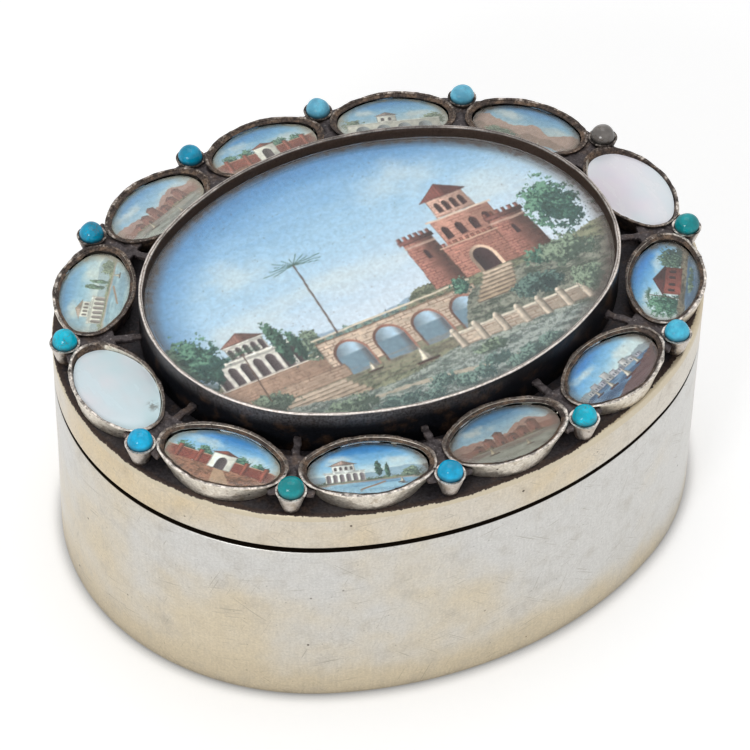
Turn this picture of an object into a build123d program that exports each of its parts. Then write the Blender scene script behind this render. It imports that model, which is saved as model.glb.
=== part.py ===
"""Oval silver box with a lift-off lid, set with painted plaques, mother-of-pearl and small stones.

Millimetres, +Z up. The origin is the centre of the flat bottom, and +X runs along the oval.
One large oval plaque stands in a tall collet in the middle of the lid. Twelve small collets stand
in a ring round it, and a stone in a conical cup stands outside each gap between two of them.
The lid pulls straight up off a collar that stands above the body's wall.
"""

import os
from math import atan2, cos, degrees, radians, sin

from build123d import *

# Plan of the box, an oval of four arcs. The join angle is where an end arc meets a side arc,
# measured at the end arc's centre from the long axis.
half_length = 40.0
half_width = 32.9
plan_join = 64.4

# Body: a wall with a plate soldered inside its foot
body_height = 24.9
wall_thickness = 0.9
base_thickness = 1.0
foot_rounding = 0.6
edge_rounding = 0.15

# Collar inside the wall, which carries the lid on its top edge
collar_thickness = 0.5
collar_depth = 7.0
seam_gap = 0.45
lid_fit = 0.12

# Lid: a band under a flat plate
rim_height = 4.5
plate_thickness = 0.9
plate_edge_rounding = 0.25

# Lane between the tall collet and the edge of the lid, a little wider at the two ends
lane_width = 9.7
lane_extra_at_ends = 0.6

# Tall collet in the middle, with its bed, plaque and cover glass
bezel_join = 58.0
bezel_height = 5.95
bezel_wall = 0.65
bezel_rounding = 0.2
centre_recess = 2.1
centre_plaque_thickness = 0.7
centre_glass_thickness = 1.0
centre_glass_bevel = 0.35

# Ring of small collets. Each fills the lane at the sides, from the tall collet to just past the
# plate's edge, and is as long as its share of the ring less the gap to the next.
settings = 12
collet_overhang = 0.15
collet_bezel_gap = 0.05
collet_gap = 0.85
collet_join = 53.0
collet_height = 2.85
collet_end_flare = 1.9
collet_side_flare = 0.65
collet_wall = 0.4
small_recess = 1.05
small_plaque_thickness = 0.5
small_glass_thickness = 0.7
small_glass_bevel = 0.7
small_glass_bevel_drop = 0.3
pearl_thickness = 1.1
pearl_dome_radius = 42.0
pearl_below_rim = 0.05

# What sits in a collet clears its wall, and a glass clears the painted face under it
seat_clearance = 0.05
glass_air = 0.05

# Stones in conical cups, one outside each gap between two collets, just inside the plate's edge
cup_edge_inset = 1.3
cup_height = 2.8
cup_rim_radius = 1.8
cup_foot_radius = 0.95
cup_seat_depth = 0.5
stone_radius = 1.48
stone_stand = 0.2

# Struts from the tall collet to each gap between two collets, with a web round their outer end
strut_width = 0.8
strut_thickness = 0.55
strut_below_rim = 0.45
web_half_width = 2.6
web_inner_reach = 2.4

# Sizes that follow: heights above the table, heights above the plate, and the tall collet's plan
lid_foot = body_height + seam_gap
plate_underside = lid_foot + rim_height
plate_top = plate_underside + plate_thickness
small_face = collet_height - small_recess
centre_face = bezel_height - centre_recess
bezel_half_length = half_length - lane_width - lane_extra_at_ends
bezel_half_width = half_width - lane_width

pearl_settings = (1, 1 + settings // 2)

# How round and box-like pieces stand on the origin
standing = (Align.CENTER, Align.CENTER, Align.MIN)


def oval_arcs(long_half, short_half, join):
    """Centre distance and radius of the end arcs, then of the side arcs, of a four-arc oval."""
    angle = radians(join)
    end_centre = (long_half - short_half) / (1 - (1 - sin(angle)) / cos(angle))
    side_centre = end_centre * sin(angle) / cos(angle)
    return end_centre, long_half - end_centre, side_centre, short_half + side_centre


# The ring line lies midway along the collets, and its length is shared out among the settings
collet_half_width = (lane_width + collet_overhang - collet_bezel_gap) / 2
ring_inset = collet_half_width - collet_overhang
cup_outset = ring_inset - cup_edge_inset
ring_arcs = oval_arcs(half_length - ring_inset, half_width - ring_inset, plan_join)
ring_quarter = ring_arcs[1] * radians(plan_join) + ring_arcs[3] * radians(90 - plan_join)
collet_half_length = 2 * ring_quarter / settings - collet_gap / 2


def oval(long_half, short_half, join, z=0.0):
    """Face of a four-arc oval at height z."""
    end_centre, end_radius, _, _ = oval_arcs(long_half, short_half, join)
    x = end_centre + end_radius * cos(radians(join))
    y = end_radius * sin(radians(join))
    outline = Wire([
        ThreePointArc((x, -y), (long_half, 0), (x, y)),
        ThreePointArc((x, y), (0, short_half), (-x, y)),
        ThreePointArc((-x, y), (-long_half, 0), (-x, -y)),
        ThreePointArc((-x, -y), (0, -short_half), (x, -y)),
    ])
    return Pos(0, 0, z) * Face(outline)


def plan_prism(inset, bottom, top):
    """Upright oval block, the plan of the box drawn in by inset."""
    return extrude(oval(half_length - inset, half_width - inset, plan_join, bottom), top - bottom)


def bezel_prism(inset, bottom, top):
    """Upright oval block, the plan of the tall collet drawn in by inset, standing on the plate."""
    outline = oval(bezel_half_length - inset, bezel_half_width - inset, bezel_join, plate_top + bottom)
    return extrude(outline, top - bottom)


def collet_plan(inset, height):
    """Oval of a small collet's outside at a height above the plate, drawn in by inset."""
    below_rim = 1 - height / collet_height
    return (collet_half_length - inset - collet_end_flare * below_rim,
            collet_half_width - inset - collet_side_flare * below_rim, collet_join)


def collet_block(inset, bottom, top):
    """Flared oval block that follows a small collet, drawn in by inset, at the origin."""
    return loft([oval(*collet_plan(inset, height), height) for height in (bottom, top)], ruled=True)


def outer_edges(solid, top):
    """Edges round the outside of a solid's highest face, or of its lowest."""
    face = solid.faces().sort_by(Axis.Z)[-1 if top else 0]
    return face.outer_wire().edges()


def ring_place(step):
    """Place on the ring line, equal steps apart from the -X end, counter-clockwise from above.

    The local +Y points outwards and the local origin lies on the lid's plate.
    """
    join = radians(plan_join)
    end_centre, end_radius, side_centre, side_radius = ring_arcs
    end_run = end_radius * join
    quadrant, share = divmod(4 * (step % settings) / settings, 1)
    along = ring_quarter * (1 - share if quadrant % 2 else share)
    if along <= end_run:
        angle = along / end_radius
        x, y = end_centre + end_radius * cos(angle), end_radius * sin(angle)
    else:
        angle = join + (along - end_run) / side_radius
        x, y = side_radius * cos(angle), side_radius * sin(angle) - side_centre
    flip_x = -1 if quadrant in (0, 3) else 1
    flip_y = -1 if quadrant in (0, 1) else 1
    outward = degrees(atan2(flip_y * sin(angle), flip_x * cos(angle)))
    return Pos(flip_x * x, flip_y * y, plate_top) * Rot(0, 0, outward - 90)


def cup_place(step):
    """Place of the cup outside the gap after a setting."""
    return ring_place(step + 0.5) * Pos(0, cup_outset, 0)


def make_body_wall():
    wall = plan_prism(0, 0, body_height) - plan_prism(wall_thickness, 0, body_height)
    wall = fillet(outer_edges(wall, top=False), foot_rounding)
    return fillet(outer_edges(wall, top=True), edge_rounding)


def make_base_plate():
    return plan_prism(wall_thickness, 0, base_thickness)


def make_body_collar():
    foot = body_height - collar_depth
    inside = plan_prism(wall_thickness + collar_thickness, foot, plate_underside)
    return plan_prism(wall_thickness, foot, plate_underside) - inside


def make_lid_rim():
    inside = plan_prism(wall_thickness - lid_fit, lid_foot, plate_underside)
    band = plan_prism(0, lid_foot, plate_underside) - inside
    return fillet(outer_edges(band, top=False), edge_rounding)


def make_lid_plate():
    plate = plan_prism(0, plate_underside, plate_top)
    return fillet(outer_edges(plate, top=True), plate_edge_rounding)


def make_centre_bezel():
    ring = bezel_prism(0, 0, bezel_height) - bezel_prism(bezel_wall, 0, bezel_height)
    return fillet(ring.edges().group_by(Axis.Z)[-1], bezel_rounding)


def make_centre_bed():
    return bezel_prism(bezel_wall + seat_clearance, 0, centre_face - centre_plaque_thickness)


def make_centre_miniature():
    return bezel_prism(bezel_wall + seat_clearance, centre_face - centre_plaque_thickness, centre_face)


def make_centre_glass():
    bottom = centre_face + glass_air
    glass = bezel_prism(bezel_wall + seat_clearance, bottom, bottom + centre_glass_thickness)
    return chamfer(glass.edges().group_by(Axis.Z)[-1], centre_glass_bevel)


def make_collet():
    return collet_block(0, 0, collet_height) - collet_block(collet_wall, 0, collet_height)


def make_small_bed(top):
    return collet_block(collet_wall + seat_clearance, 0, top)


def make_small_miniature():
    return collet_block(collet_wall + seat_clearance, small_face - small_plaque_thickness, small_face)


def make_small_glass():
    """Cover glass with a straight edge and a wide bevel down to it."""
    inset = collet_wall + seat_clearance
    bottom = small_face + glass_air
    shoulder = bottom + small_glass_thickness - small_glass_bevel_drop
    crown = oval(*collet_plan(inset + small_glass_bevel, shoulder), bottom + small_glass_thickness)
    girdle = oval(*collet_plan(inset, shoulder), shoulder)
    return collet_block(inset, bottom, shoulder) + loft([girdle, crown], ruled=True)


def make_pearl():
    """Mother-of-pearl plaque with a low domed face, level with the collet's rim at its middle."""
    crown = collet_height - pearl_below_rim
    blank = collet_block(collet_wall + seat_clearance, crown - pearl_thickness, crown)
    return blank & Pos(0, 0, crown - pearl_dome_radius) * Sphere(pearl_dome_radius)


def make_cup_outside():
    return Cone(cup_foot_radius, cup_rim_radius, cup_height, align=standing)


def make_cup(step, collet_solid):
    """Conical cup with a round seat sunk in its top, filed to nest between its two collets."""
    seat = Pos(0, 0, cup_height - cup_seat_depth) * Cylinder(
        stone_radius + seat_clearance, cup_seat_depth, align=standing)
    cup = cup_place(step) * (make_cup_outside() - seat)
    for neighbour in (step, step + 1):
        cup = cup - ring_place(neighbour) * collet_solid
    return max(cup.solids(), key=lambda solid: solid.volume)


def make_stone():
    """Round cabochon: a hemisphere on a short straight girdle."""
    girdle_foot = cup_height - cup_seat_depth
    girdle_top = cup_height + stone_stand
    girdle = Cylinder(stone_radius, girdle_top - girdle_foot, align=standing)
    dome = Sphere(stone_radius, arc_size1=0, align=standing)
    return Pos(0, 0, girdle_foot) * girdle + Pos(0, 0, girdle_top) * dome


def make_strut(step, collet_solid, cup_solid, bezel_solid):
    """Flat strut from the tall collet out to one gap, with a web that fills the gap's waist."""
    top = collet_height - strut_below_rim
    inner_reach = lane_width + lane_extra_at_ends
    hung = (Align.CENTER, Align.MAX, Align.MAX)
    bar = Pos(0, 0, top) * Box(strut_width, inner_reach, strut_thickness, align=hung)
    web_reach = web_inner_reach + cup_outset
    web = Pos(0, cup_outset, top) * Box(2 * web_half_width, web_reach, strut_thickness, align=hung)
    here = ring_place(step + 0.5)
    piece = here * (bar + web) - bezel_solid
    for neighbour in (step, step + 1):
        piece = piece - ring_place(neighbour) * collet_solid
    piece = piece - cup_place(step) * cup_solid
    return max(piece.solids(), key=lambda solid: solid.volume)


def numbered(name, number):
    return f"{name}_{number:02d}"


def build():
    """All the pieces by name."""
    pieces = {
        "body_wall": make_body_wall(),
        "base_plate": make_base_plate(),
        "body_collar": make_body_collar(),
        "lid_rim": make_lid_rim(),
        "lid_plate": make_lid_plate(),
        "centre_bezel": make_centre_bezel(),
        "centre_bed": make_centre_bed(),
        "centre_miniature": make_centre_miniature(),
        "centre_glass": make_centre_glass(),
    }
    collet, miniature, pearl, glass = make_collet(), make_small_miniature(), make_pearl(), make_small_glass()
    stone = make_stone()
    plaque_bed = make_small_bed(small_face - small_plaque_thickness)
    pearl_bed = make_small_bed(collet_height - pearl_below_rim - pearl_thickness)
    collet_outside = collet_block(0, 0, collet_height)
    cup_outside = make_cup_outside()
    bezel_outside = bezel_prism(0, 0, bezel_height)
    beds, glasses, struts = [], [], []
    for number in range(1, settings + 1):
        step = number - 1
        here = ring_place(step)
        pieces[numbered("collet", number)] = here * collet
        if number in pearl_settings:
            pieces[numbered("pearl", number)] = here * pearl
            beds.append(here * pearl_bed)
        else:
            pieces[numbered("miniature", number)] = here * miniature
            beds.append(here * plaque_bed)
            glasses.append(here * glass)
        pieces[numbered("stone_cup", number)] = make_cup(step, collet_outside)
        pieces[numbered("stone", number)] = cup_place(step) * stone
        struts.append(make_strut(step, collet_outside, cup_outside, bezel_outside))
    pieces["setting_beds"] = Compound(beds)
    pieces["setting_glasses"] = Compound(glasses)
    pieces["gallery_struts"] = Compound(struts)
    return pieces


os.makedirs("parts", exist_ok=True)
for node, shape in build().items():
    export_step(shape, f"parts/{node}.step")
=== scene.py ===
"""Oval silver box whose lid is set with painted plaques, mother-of-pearl and turquoise.

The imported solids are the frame, in metres. Walls that were bent and filed by hand are drawn up
afresh over them, the plaques are painted here, and the rest keeps its solid and gets its finish.
"""

from math import atan2, cos, degrees, radians, sin

import bpy
import numpy as np
from mathutils import Matrix, Vector, noise


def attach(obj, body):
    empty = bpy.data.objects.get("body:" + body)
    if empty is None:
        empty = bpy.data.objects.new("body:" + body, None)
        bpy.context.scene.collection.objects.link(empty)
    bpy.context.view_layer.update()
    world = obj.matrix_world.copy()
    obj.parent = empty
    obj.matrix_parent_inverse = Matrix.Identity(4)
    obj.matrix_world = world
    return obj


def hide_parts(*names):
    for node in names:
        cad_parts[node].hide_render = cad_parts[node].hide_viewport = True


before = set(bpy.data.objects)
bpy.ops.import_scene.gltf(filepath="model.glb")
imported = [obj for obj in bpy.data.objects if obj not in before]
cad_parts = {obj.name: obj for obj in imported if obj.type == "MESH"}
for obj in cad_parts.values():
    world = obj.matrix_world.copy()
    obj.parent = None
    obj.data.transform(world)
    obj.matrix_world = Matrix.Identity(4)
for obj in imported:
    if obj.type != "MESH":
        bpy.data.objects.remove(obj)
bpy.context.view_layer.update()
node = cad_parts
bpy.ops.object.select_all(action="DESELECT")

MM = 0.001


# The body's wall is one strip of silver, bent round an oval of four arcs and soldered at the back.
# It was gilded and is now mostly worn back to silver. Its top edge is not quite level, its foot is
# rounded by use, and its face has small dents, fine scratches and a few dark pits.
HALF_LENGTH, HALF_WIDTH, PLAN_JOIN = 40.0, 32.9, 64.4
BODY_HEIGHT, WALL = 24.9, 0.9
FOOT_ROUNDING, EDGE_ROUNDING = 0.6, 0.15
AROUND = 360


def oval_arcs(long_half, short_half, join):
    """Centre distance and radius of the end arcs, then of the side arcs, of a four-arc oval."""
    angle = radians(join)
    end_centre = (long_half - short_half) / (1 - (1 - sin(angle)) / cos(angle))
    side_centre = end_centre * sin(angle) / cos(angle)
    return end_centre, long_half - end_centre, side_centre, short_half + side_centre


def oval_line(long_half, short_half, join, steps):
    """Points at equal steps along the oval from its +X end, with the way out at each, in degrees."""
    end_centre, end_radius, side_centre, side_radius = oval_arcs(long_half, short_half, join)
    end_run = end_radius * radians(join)
    quarter = end_run + side_radius * radians(90 - join)
    line = []
    for step in range(steps):
        turn, along = divmod(4 * quarter * step / steps + 1e-9, quarter)
        if turn % 2:
            along = quarter - along
        if along <= end_run:
            angle = along / end_radius
            x, y = end_centre + end_radius * cos(angle), end_radius * sin(angle)
        else:
            angle = radians(join) + (along - end_run) / side_radius
            x, y = side_radius * cos(angle), side_radius * sin(angle) - side_centre
        flip_x, flip_y = ((1, 1), (-1, 1), (-1, -1), (1, -1))[int(turn) % 4]
        line.append((flip_x * x, flip_y * y, degrees(atan2(flip_y * sin(angle), flip_x * cos(angle)))))
    return line


def draw_up(name, rings, join, around=AROUND, closed=False):
    """Metal raised from a circle of points, one extrusion for each of rings, which are half lengths,
    half widths and heights in mm. It is a wall, bridged back to its foot, or a closed plate."""
    bpy.ops.mesh.primitive_circle_add(vertices=around, radius=1, fill_type="NGON" if closed else "NOTHING")
    piece = bpy.context.object
    piece.name = piece.data.name = name
    bpy.ops.object.mode_set(mode="EDIT")
    bpy.ops.mesh.select_all(action="SELECT")
    for before, after in zip(rings, rings[1:]):
        rise = (after[2] - before[2]) * MM
        bpy.ops.mesh.extrude_region_move(TRANSFORM_OT_translate={"value": (0, 0, rise)})
    bpy.ops.object.mode_set(mode="OBJECT")
    for k, (long_half, short_half, height) in enumerate(rings):
        for j, (x, y, _) in enumerate(oval_line(long_half, short_half, join, around)):
            piece.data.vertices[k * around + j].co = (x * MM, y * MM, height * MM)
    bpy.ops.object.mode_set(mode="EDIT")
    if not closed:
        bpy.ops.mesh.select_all(action="DESELECT")
        bpy.ops.mesh.select_non_manifold()
        bpy.ops.mesh.bridge_edge_loops()
    bpy.ops.mesh.select_all(action="SELECT")
    bpy.ops.mesh.normals_make_consistent(inside=False)
    bpy.ops.object.mode_set(mode="OBJECT")
    lay_run(piece, rings[0], join, around)
    bpy.ops.object.shade_smooth_by_angle(angle=radians(40))
    return piece


def lay_run(piece, ring, join, around):
    """UV map of the wall rolled out flat, in mm: the run round the oval, and the height."""
    _, end_radius, _, side_radius = oval_arcs(*ring[:2], join)
    length = 4 * (end_radius * radians(join) + side_radius * radians(90 - join))
    rolled = piece.data.uv_layers.new(name="rolled")
    for face in piece.data.polygons:
        steps = [piece.data.loops[k].vertex_index % around for k in face.loop_indices]
        wraps = max(steps) - min(steps) > around / 2
        for k, step in zip(face.loop_indices, steps):
            vertex = piece.data.vertices[piece.data.loops[k].vertex_index]
            run = (step + around * (wraps and step < around / 2)) * length / around
            rolled.data[k].uv = (run, vertex.co.z / MM)


def rounded_foot(radius, foot, step):
    """Inset and height of points up a rounded lower edge."""
    turns = [radians(angle) for angle in range(0, 91, step)]
    return [(radius * (1 - sin(turn)), foot + radius * (1 - cos(turn))) for turn in turns]


def rounded_top(radius, top, step, start=0):
    """The same over a rounded upper edge, from the side inwards."""
    turns = [radians(angle) for angle in range(start, 91, step)]
    return [(radius * (1 - cos(turn)), top - radius * (1 - sin(turn))) for turn in turns]


def drawn_in(profile, long_half=HALF_LENGTH, short_half=HALF_WIDTH):
    """Rings of an oval piece, from the inset and height of each."""
    return [(long_half - inset, short_half - inset, height) for inset, height in profile]


def by_hand(piece, reach, size, seed, only=None, swell=0.0):
    """Moves the surface in and out a little, as hammer, file and years of use leave it, and swells it."""
    normals = [vertex.normal.copy() for vertex in piece.data.vertices]
    for vertex, normal in zip(piece.data.vertices, normals):
        if only is None or only(vertex.co / MM, normal):
            where = vertex.co / (MM * size) + Vector((7.3 * seed, 2.1 * seed, 0))
            vertex.co += normal * MM * (swell + reach * noise.noise(where))


def open_seam(piece, still, edge, even, more, ripple, seed):
    """Draws the edge of a wall back from the seam, unevenly and more at the front left, and the wall
    behind it less and less as far as the height still."""
    for vertex in piece.data.vertices:
        x, y, z = vertex.co / MM
        share = max(0, (z - still) / (edge - still))
        wave = -0.5 * x / HALF_LENGTH - 0.35 * y / HALF_WIDTH
        back = even + more * wave + 0.03 * noise.noise(Vector((x, y, seed)) / ripple)
        vertex.co.z += MM * share * (back if edge < still else -back)


wall_profile = rounded_foot(FOOT_ROUNDING, 0.0, 15)
wall_profile += [(0, height) for height in np.linspace(1.3, BODY_HEIGHT - 1.0, 22)]
wall_profile += rounded_top(EDGE_ROUNDING, BODY_HEIGHT, 30)
wall_profile += [(WALL, height) for height in (BODY_HEIGHT, 17.0, 0.0)]
body_wall = draw_up("wall", drawn_in(wall_profile), PLAN_JOIN)
open_seam(body_wall, still=18, edge=BODY_HEIGHT, even=0.10, more=0.16, ripple=9, seed=3)
by_hand(body_wall, reach=0.05, size=9, seed=1,
        only=lambda place, normal: abs(normal.z) < 0.5 and 1 < place.z < 24)


def wire(made, ins):
    """Sets or wires the inputs of a node, and returns the node."""
    for key, value in ins.items():
        if isinstance(value, bpy.types.NodeSocket):
            made.id_data.links.new(value, made.inputs[key])
        else:
            made.inputs[key].default_value = value
    return made


def put(tree, kind, ins=None, out=0, **settings):
    """Adds a shader node with its inputs and settings, and returns the output asked for."""
    made = tree.nodes.new("ShaderNode" + kind)
    for key, value in settings.items():
        setattr(made, key, value)
    return wire(made, ins or {}).outputs[out]


def tree_of(*values):
    """Node tree of the first socket among some values."""
    return next(value.id_data for value in values if isinstance(value, bpy.types.NodeSocket))


def maths(operation, a, b=0.0, clamp=False):
    return put(tree_of(a, b), "Math", {0: a, 1: b}, operation=operation, use_clamp=clamp)


def plus(a, b):
    return maths("ADD", a, b)


def times(a, b):
    return maths("MULTIPLY", a, b)


def larger(a, b):
    return maths("MAXIMUM", a, b)


def vector_maths(operation, a, b=(0, 0, 0), out=0):
    return put(tree_of(a), "VectorMath", {0: a, 1: b}, out, operation=operation)


def toward(vector, way):
    """How far a vector reaches in a direction."""
    return vector_maths("DOT_PRODUCT", vector, way, "Value")


def height_of(vector):
    return put(vector.id_data, "SeparateXYZ", {0: vector}, out="Z")


def way_it_faces(tree):
    return put(tree, "NewGeometry", out="Normal")


def ramp_of(value, start, end, low=0.0, high=1.0):
    """Smooth change from low to high as a value goes from start to end."""
    ins = {"Value": value, "From Min": start, "From Max": end, "To Min": low, "To Max": high}
    return put(value.id_data, "MapRange", ins, interpolation_type="SMOOTHSTEP")


def tint(share, a, b, how="MIX"):
    """Colour between a and b."""
    a, b = (part if isinstance(part, bpy.types.NodeSocket) else (*part, 1) for part in (a, b))
    return put(tree_of(share, a, b), "Mix", {0: share, 6: a, 7: b}, out=2, data_type="RGBA", blend_type=how)


def shaded(colour, share, low, high):
    """Colour multiplied by a shade between two."""
    return tint(1.0, colour, tint(share, low, high), "MULTIPLY")


def patches(where, size, detail=4.0, stretch=(1, 1, 1), seed=0.0, rough=0.55):
    """Noise from 0 to 1 whose patches are about size mm across."""
    tree = where.id_data
    scaled = put(tree, "Mapping", {"Vector": where, "Location": (seed, 2 * seed, 3 * seed),
                                   "Scale": tuple(part / size for part in stretch)})
    return put(tree, "TexNoise", {"Vector": scaled, "Scale": 1.0, "Detail": detail, "Roughness": rough})


def bump(height, deep, strength=0.7):
    """Relief from a height, deep mm from its lowest to its highest."""
    return put(height.id_data, "Bump", {"Height": height, "Distance": deep * MM, "Strength": strength})


def mask_group(name, **values):
    """Empty shader group that makes a mask from some numbers and vectors, with its two end nodes."""
    tree = bpy.data.node_groups.new(name, "ShaderNodeTree")
    for key, value in values.items():
        kind = "NodeSocketFloat" if isinstance(value, float) else "NodeSocketVector"
        tree.interface.new_socket(key, in_out="INPUT", socket_type=kind).default_value = value
    tree.interface.new_socket("Mask", in_out="OUTPUT", socket_type="NodeSocketFloat")
    return tree, tree.nodes.new("NodeGroupInput").outputs, tree.nodes.new("NodeGroupOutput")


def mask_from(tree, shared, **ins):
    """Places a shared group in a finish and returns its mask."""
    made = tree.nodes.new("ShaderNodeGroup")
    made.node_tree = shared
    return wire(made, ins).outputs["Mask"]


def finish_named(name):
    """New material with its tree, its Principled shader and the place on the piece in mm."""
    made = bpy.data.materials.new(name)
    made.use_nodes = True
    tree = made.node_tree
    where = put(tree, "VectorMath", {0: put(tree, "TexCoord", out="Object"), 3: 1 / MM}, operation="SCALE")
    return made, tree, tree.nodes["Principled BSDF"], where


# Fine scratches in three directions, broken up so that they come and go
scratches, inside, end = mask_group("scratches", Place=(0, 0, 0))
lines = None
for turn, seed in ((12, 1.3), (67, 4.1), (-38, 7.7)):
    turned = put(scratches, "Mapping", {"Vector": inside["Place"], "Rotation": (0, 0, radians(turn)),
                                        "Scale": (6.2, 0.17, 0.17), "Location": (seed, seed, seed)},
                 vector_type="TEXTURE")
    thin = put(scratches, "TexNoise", {"Vector": turned, "Scale": 1.0, "Detail": 2.0, "Distortion": 0.25})
    here = ramp_of(patches(inside["Place"], 5.0, seed=seed), 0.47, 0.6)
    line = times(ramp_of(thin, 0.65, 0.70), here)
    lines = line if lines is None else larger(lines, line)
wire(end, {"Mask": lines})

# Small pits, a few of them, each with a soft dark edge
pits, inside, end = mask_group("pits", Place=(0, 0, 0), Apart=4.0, Radius=0.16)
apart = put(pits, "VectorMath", {0: inside["Place"], 3: maths("DIVIDE", 1.0, inside["Apart"])},
            operation="SCALE")
cell = wire(pits.nodes.new("ShaderNodeTexVoronoi"), {"Scale": 1.0, "Vector": apart}).outputs
chance = put(pits, "SeparateColor", {0: cell["Color"]})
edge = times(inside["Radius"], times(chance, 1.6))
away = maths("DIVIDE", times(cell["Distance"], inside["Apart"]), plus(edge, 0.001))
hole = times(maths("SUBTRACT", 1.0, away, clamp=True), ramp_of(chance, 0.62, 0.64))
wire(end, {"Mask": maths("MINIMUM", times(hole, 2.2), 1.0)})


def worn_gilt(name, silver, gilt, tarnish, gilding, lean=0.0, rolled=True, roughness=0.36):
    """Silver that was gilded: warm where gold is left, the more so by lean at the left and the foot,
    finely rubbed up and down, with stains, pits, short scratches and painted shade towards the foot."""
    made, tree, shader, where = finish_named(name)
    flat = put(tree, "UVMap", uv_map="rolled") if rolled else where
    height = height_of(where)
    leaning = ramp_of(toward(where, (0.6, 0.25, 1.0)), 26, -24, 0.0, lean)
    gold = plus(patches(where, 12.0, 5.0, seed=2.0), leaning)
    gold = plus(gold, ramp_of(height, 7.0, 0.5, 0.0, 0.9 * lean))
    gold = ramp_of(plus(gold, gilding), 0.38, 0.86)
    stain = ramp_of(patches(where, 3.2, 6.0, seed=5.0, rough=0.62), 0.48, 0.8)
    cloudy = patches(flat, 1.6, 6.0, seed=1.0, rough=0.68)
    across = patches(flat, 1.0, 4.0, stretch=(3.2, 0.35, 1.0), seed=8.0, rough=0.7)
    rubbed = times(plus(cloudy, across), 0.5)
    grain = patches(flat, 0.3, 3.0, seed=9.0, rough=0.7)
    colour = tint(times(stain, 0.5), tint(gold, silver, gilt), tarnish)
    # The first shade is painted shade: the colour grows darker towards the foot, over its lowest 8 mm
    for share, low, high in ((ramp_of(height, 8.0, 1.0), (1, 1, 1), (0.92, 0.91, 0.89)),
                             (ramp_of(rubbed, 0.34, 0.66), (0.925, 0.92, 0.915), (1.05, 1.05, 1.05)),
                             (ramp_of(grain, 0.25, 0.75), (0.89, 0.885, 0.88), (1.09, 1.09, 1.09))):
        colour = shaded(colour, share, low, high)
    scored = mask_from(tree, scratches, Place=flat)
    holes = mask_from(tree, pits, Place=flat, Apart=3.4, Radius=0.17)
    specks = mask_from(tree, pits, Place=where, Apart=0.9, Radius=0.08)
    dark = larger(holes, times(specks, 0.35))
    colour = tint(times(scored, 0.5), colour, (0.28, 0.25, 0.20))
    colour = tint(times(dark, 0.85), colour, (0.05, 0.035, 0.03))
    rough = plus(ramp_of(rubbed, 0.3, 0.7, roughness - 0.06, roughness + 0.08), times(dark, 0.3))
    depth = plus(times(scored, -0.3), times(dark, -1.0))
    depth = plus(depth, times(rubbed, 0.5))
    wire(shader, {"Base Color": colour, "Roughness": rough, "Metallic": 1.0, "Specular IOR Level": 0.1,
                  "Normal": bump(depth, 0.02, 0.6)})
    return made


def paint_seam_shade(finish, mask, black):
    """Paints black, as painted shade, on a silver where mask is 1."""
    shader = finish.node_tree.nodes["Principled BSDF"]
    clean = shader.inputs["Base Color"].links[0].from_socket
    wire(shader, {"Base Color": tint(mask, clean, black), "Metallic": maths("SUBTRACT", 1.0, mask)})


def dress(piece, finish):
    """Gives a piece its finish."""
    piece.data.materials.clear()
    piece.data.materials.append(finish)


body_silver = worn_gilt("worn gilt silver of the body", silver=(0.622, 0.617, 0.597),
                        gilt=(0.64, 0.565, 0.43), tarnish=(0.44, 0.41, 0.36), gilding=-0.18, lean=0.36)
# The ledge under the lid is painted black, as painted shade in the seam between lid and body
tree = body_silver.node_tree
level = ramp_of(height_of(way_it_faces(tree)), 0.75, 0.95)
high = ramp_of(height_of(put(tree, "TexCoord", out="Object")), 22.0 * MM, 23.0 * MM)
paint_seam_shade(body_silver, times(level, high), (0.012, 0.008, 0.005))
dress(body_wall, body_silver)
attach(body_wall, "base")
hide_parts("body_wall")


# The bottom is a flat plate soldered inside the wall. It shows from below and from inside, and
# keeps more of its gilding than the wall does.
base_silver = worn_gilt("worn silver of the base", silver=(0.62, 0.58, 0.51), gilt=(0.72, 0.56, 0.30),
                        tarnish=(0.42, 0.39, 0.34), gilding=0.1, rolled=False)
dress(node["base_plate"], base_silver)


# The collar is a thin inner sleeve that stands above the wall, where the lid grips it. It kept its
# gilding, because the lid covers it, and round its foot on the outer side it is painted black, as painted
# shade in the seam under the lid.
collar_gilding = worn_gilt("gilding of the collar", silver=(0.74, 0.58, 0.30), gilt=(0.80, 0.60, 0.27),
                           tarnish=(0.55, 0.42, 0.22), gilding=0.2, rolled=False, roughness=0.28)
tree = collar_gilding.node_tree
place = put(tree, "TexCoord", out="Object")
outer_side = ramp_of(toward(place, way_it_faces(tree)), 0.0, 5.0 * MM)
low = ramp_of(height_of(place), 26.6 * MM, 25.7 * MM)
# Painted shade: the collar's outer foot is painted black where the seam is
paint_seam_shade(collar_gilding, times(outer_side, low), (0.010, 0.007, 0.005))
dress(node["body_collar"], collar_gilding)


# The lid's band is a second strip of the same oval, yellower than the body because less of its
# gold is gone. Its foot is a little uneven, which makes the seam wider at the front left.
LID_FOOT, PLATE_UNDERSIDE, LID_FIT = 25.35, 29.85, 0.12
band_profile = rounded_foot(EDGE_ROUNDING, LID_FOOT, 30)
band_profile += [(0, height) for height in np.linspace(LID_FOOT + 0.6, PLATE_UNDERSIDE, 7)]
band_profile += [(WALL - LID_FIT, PLATE_UNDERSIDE), (WALL - LID_FIT, LID_FOOT)]
lid_band = draw_up("band", drawn_in(band_profile), PLAN_JOIN)
open_seam(lid_band, still=28, edge=LID_FOOT, even=0.05, more=0.09, ripple=6, seed=8)
band_silver = worn_gilt("worn gilt silver of the band", silver=(0.64, 0.60, 0.53), gilt=(0.66, 0.54, 0.35),
                        tarnish=(0.40, 0.34, 0.26), gilding=-0.05, lean=0.25)
dress(lid_band, band_silver)
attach(lid_band, "lid")
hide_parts("lid_rim")


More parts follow.
